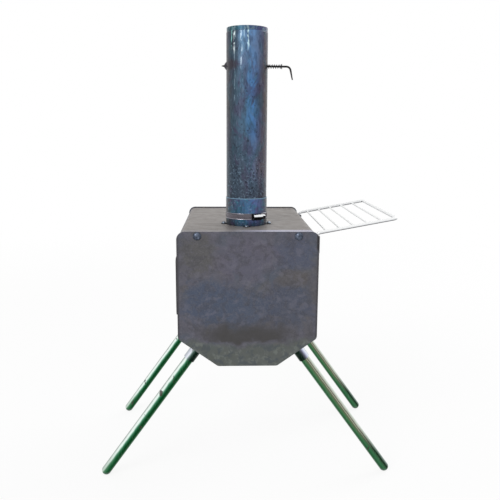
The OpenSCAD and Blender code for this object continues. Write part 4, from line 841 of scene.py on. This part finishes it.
dress(["damper_rod", "damper_washer", "damper_lock_pins"],
      plain_metal("blackened_rod", "#2e2d2e", "#171717", 0.42, 0.6))
dress(["damper_plate"], plain_metal("cast_iron", "#4a4b4f", "#303134", 0.62, 0.5, 0.008, 0.0003))
spring_steel, tree, shader, place, colour = mirrored("drawn_spring_wire", "#d4d4d8", "#161618", 0.26, 0.0,
                                                     0.5)
surface(tree, shader, colour, cloud(tree, place, 0.003), (0.2, 0.32), cloud(tree, place, 0.0008), 0.00003)
rod_spring = skin("rod_spring", [coil("damper_spring", 0, 0.0012, 6.5)], spring_steel, "damper")
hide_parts("damper_spring")


# Rack: polished stainless rod and wires, whose colour is a painted reflection of the white sky from nearly
# every side, whitest where they face up. Each wire ends in a small fillet where it was spot welded to the
# arms, and the welds were polished with the rack.
rack_steel, tree, shader, place, colour = mirrored("polished_wire", "#dfe1e3", "#1a1c1f", 0.2, -0.62, -0.25)
upper_highlight = add(tree, "MapRange", {0: facing_up(tree), 1: -0.1, 2: 0.3}, **smooth)
colour = layered(tree, colour, [(upper_highlight, "#fafbfb")])
surface(tree, shader, colour, cloud(tree, place, 0.004), (0.16, 0.26), cloud(tree, place, 0.0009), 0.00002)
shader.inputs["Metallic"].default_value = 0.35
dress(["rack_frame", "rack_wires"], rack_steel)
# A fillet's radius is 1.04 of the wire's, plus 0.4 of it times the square of what is left of its length.
wire_r = 0.0015
rod_r = 0.0025
fillet_l = 0.005
wire_low, wire_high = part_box("rack_wires")
frame_low, frame_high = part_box("rack_frame")
first = np.array([wire_low.x + wire_r, wire_low.z + wire_r])
last = np.array([wire_high.x - wire_r, wire_high.z - wire_r])
reach = np.linspace(0, 1, 10)
fillets = []
for share in np.linspace(0, 1, 5):
    x, z = first + share * (last - first)
    for y, inward in ((frame_low.y + rod_r, 1), (frame_high.y - rod_r, -1)):
        path = np.stack([x + 0 * reach, y + inward * fillet_l * reach, z + 0 * reach], axis=1)
        fillets.append(tube(path, wire_r * (1.04 + 0.4 * (1 - reach) ** 2), 16, z_axis))
skin("rack_wire_welds", fillets, rack_steel, "side_rack")


# Fittings that are welded, riveted or bolted on: rack sockets, knuckles, straps, keeper, guides and the
# latch's lever, cut from mild steel strip and rod. The heat has darkened them to a dull, even grey.
dress(["rack_sockets", "frame_knuckles", "door_hinges", "latch_keeper", "air_guides", "latch_lever",
       "latch_grip_core"], plain_metal("heat_dark_steel", "#55535a", "#38373a", 0.5, 0.4, 0.006, 0.0002))


# Side window: a pressed frame on screws, painted with black stove paint, a woven rope gasket, and a
# pane of heat-proof glass that is amber by nature and hazed with smoke from its edges inwards.
# The paint was baked on by the first fire: matt, charcoal black, paler where the heat has chalked it.
dress(["window_frame"], plain_metal("baked_stove_paint", "#48474a", "#2c2c2e", 0.6, 0.2, 0.006, 0.00015))
dress(["window_screws", "window_nuts"], zinc)

# The rope is braided from glass fibre, with no gloss at all. Its strands cross at 45 degrees, so two rows
# of waves are multiplied: pale where both rise, brown between them, and sooty in patches. The texture has
# 3.2 waves to its unit, and one wave to each strand.
rope_pitch = 0.0024
rope_unit = 3.2 * rope_pitch
rope_fibre, tree, shader, place = finish_of("woven_glass_rope", 0.0, 0.9)
strand_place = add(tree, "Mapping", {"Vector": place, "Rotation": (math.radians(45), 0, 0)})
strands = [add(tree, "TexWave", {"Vector": strand_place, "Scale": 1 / rope_unit, "Distortion": 0.6,
                                 "Detail": 1.0}, bands_direction=way).outputs["Fac"] for way in "YZ"]
woven = add(tree, "Math", {0: strands[0], 1: strands[1]}, operation="MULTIPLY")
colour = layered(tree, tone("#4e4a44"), [(woven, "#a39c90"),
                                         (cloud(tree, place, 0.012, (0.5, 0.7), 0.6), "#3a3633")])
surface(tree, shader, colour, woven, (0.85, 0.95), woven, 0.0005)
dress(["window_gasket"], rope_fibre)

# The glass shows the fire in amber. Its haze thickens from 60 to 10 mm off the upright edges, and from 32
# to 8 mm off the level ones, and is rough where it is thick.
glass_low, glass_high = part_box("window_glass")
fire_glass, tree, shader, place = finish_of("amber_fire_glass", 0.0, 0.08)
axes = add(tree, "SeparateXYZ", {0: place})
hazes = []
for i, start, full in ((1, 0.060, 0.010), (2, 0.032, 0.008)):
    half = (glass_high[i] - glass_low[i]) / 2
    off = add(tree, "Math", {0: axes.outputs[i], 1: (glass_low[i] + glass_high[i]) / 2}, operation="SUBTRACT")
    off = add(tree, "Math", {0: off}, operation="ABSOLUTE")
    hazes.append(add(tree, "MapRange", {0: off, 1: half - start, 2: half - full}, **smooth))
edge_haze = add(tree, "Math", {0: hazes[0], 1: hazes[1]}, operation="MAXIMUM")
haze = add(tree, "Math", {0: cloud(tree, place, 0.05, (0.2, 0.8), 0.5, 2.0), 1: edge_haze},
           operation="ADD", use_clamp=True)
colour = layered(tree, tone("#a8946a"), [(haze, "#3a3026")])
surface(tree, shader, colour, haze, (0.05, 0.4), cloud(tree, place, 0.02, detail=1.0), 0.00005)
shader.inputs["Transmission Weight"].default_value = 0.75
shader.inputs["IOR"].default_value = 1.47
dress(["window_glass"], fire_glass)


# Door and air slide, cut from the same scaled sheet as the plates. The latch's grip is a coil of the
# same kind of wire as the damper's spring, with the same painted reflection, wound round the lever, and
# stays cool enough to touch.
dress(["door_panel", "air_slide"], plain_sheet("door_mill_scale", (5.5, 2.0, 9.0)))
cool_grip = skin("cool_grip", [coil("latch_grip_coil", 1, 0.0016, 15)], spring_steel, "latch")
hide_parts("latch_grip_coil")


# Inside: grate, baffle and corner blocks, in mild steel. The baffle and blocks are welded in and the
# grate lies loose. Soot covers them, so they are nearly black and return no gleam.
dress(["grate", "baffle", "corner_blocks"],
      plain_metal("sooty_steel", "#3a3836", "#232120", 0.8, 0.2, 0.012, 0.0004))
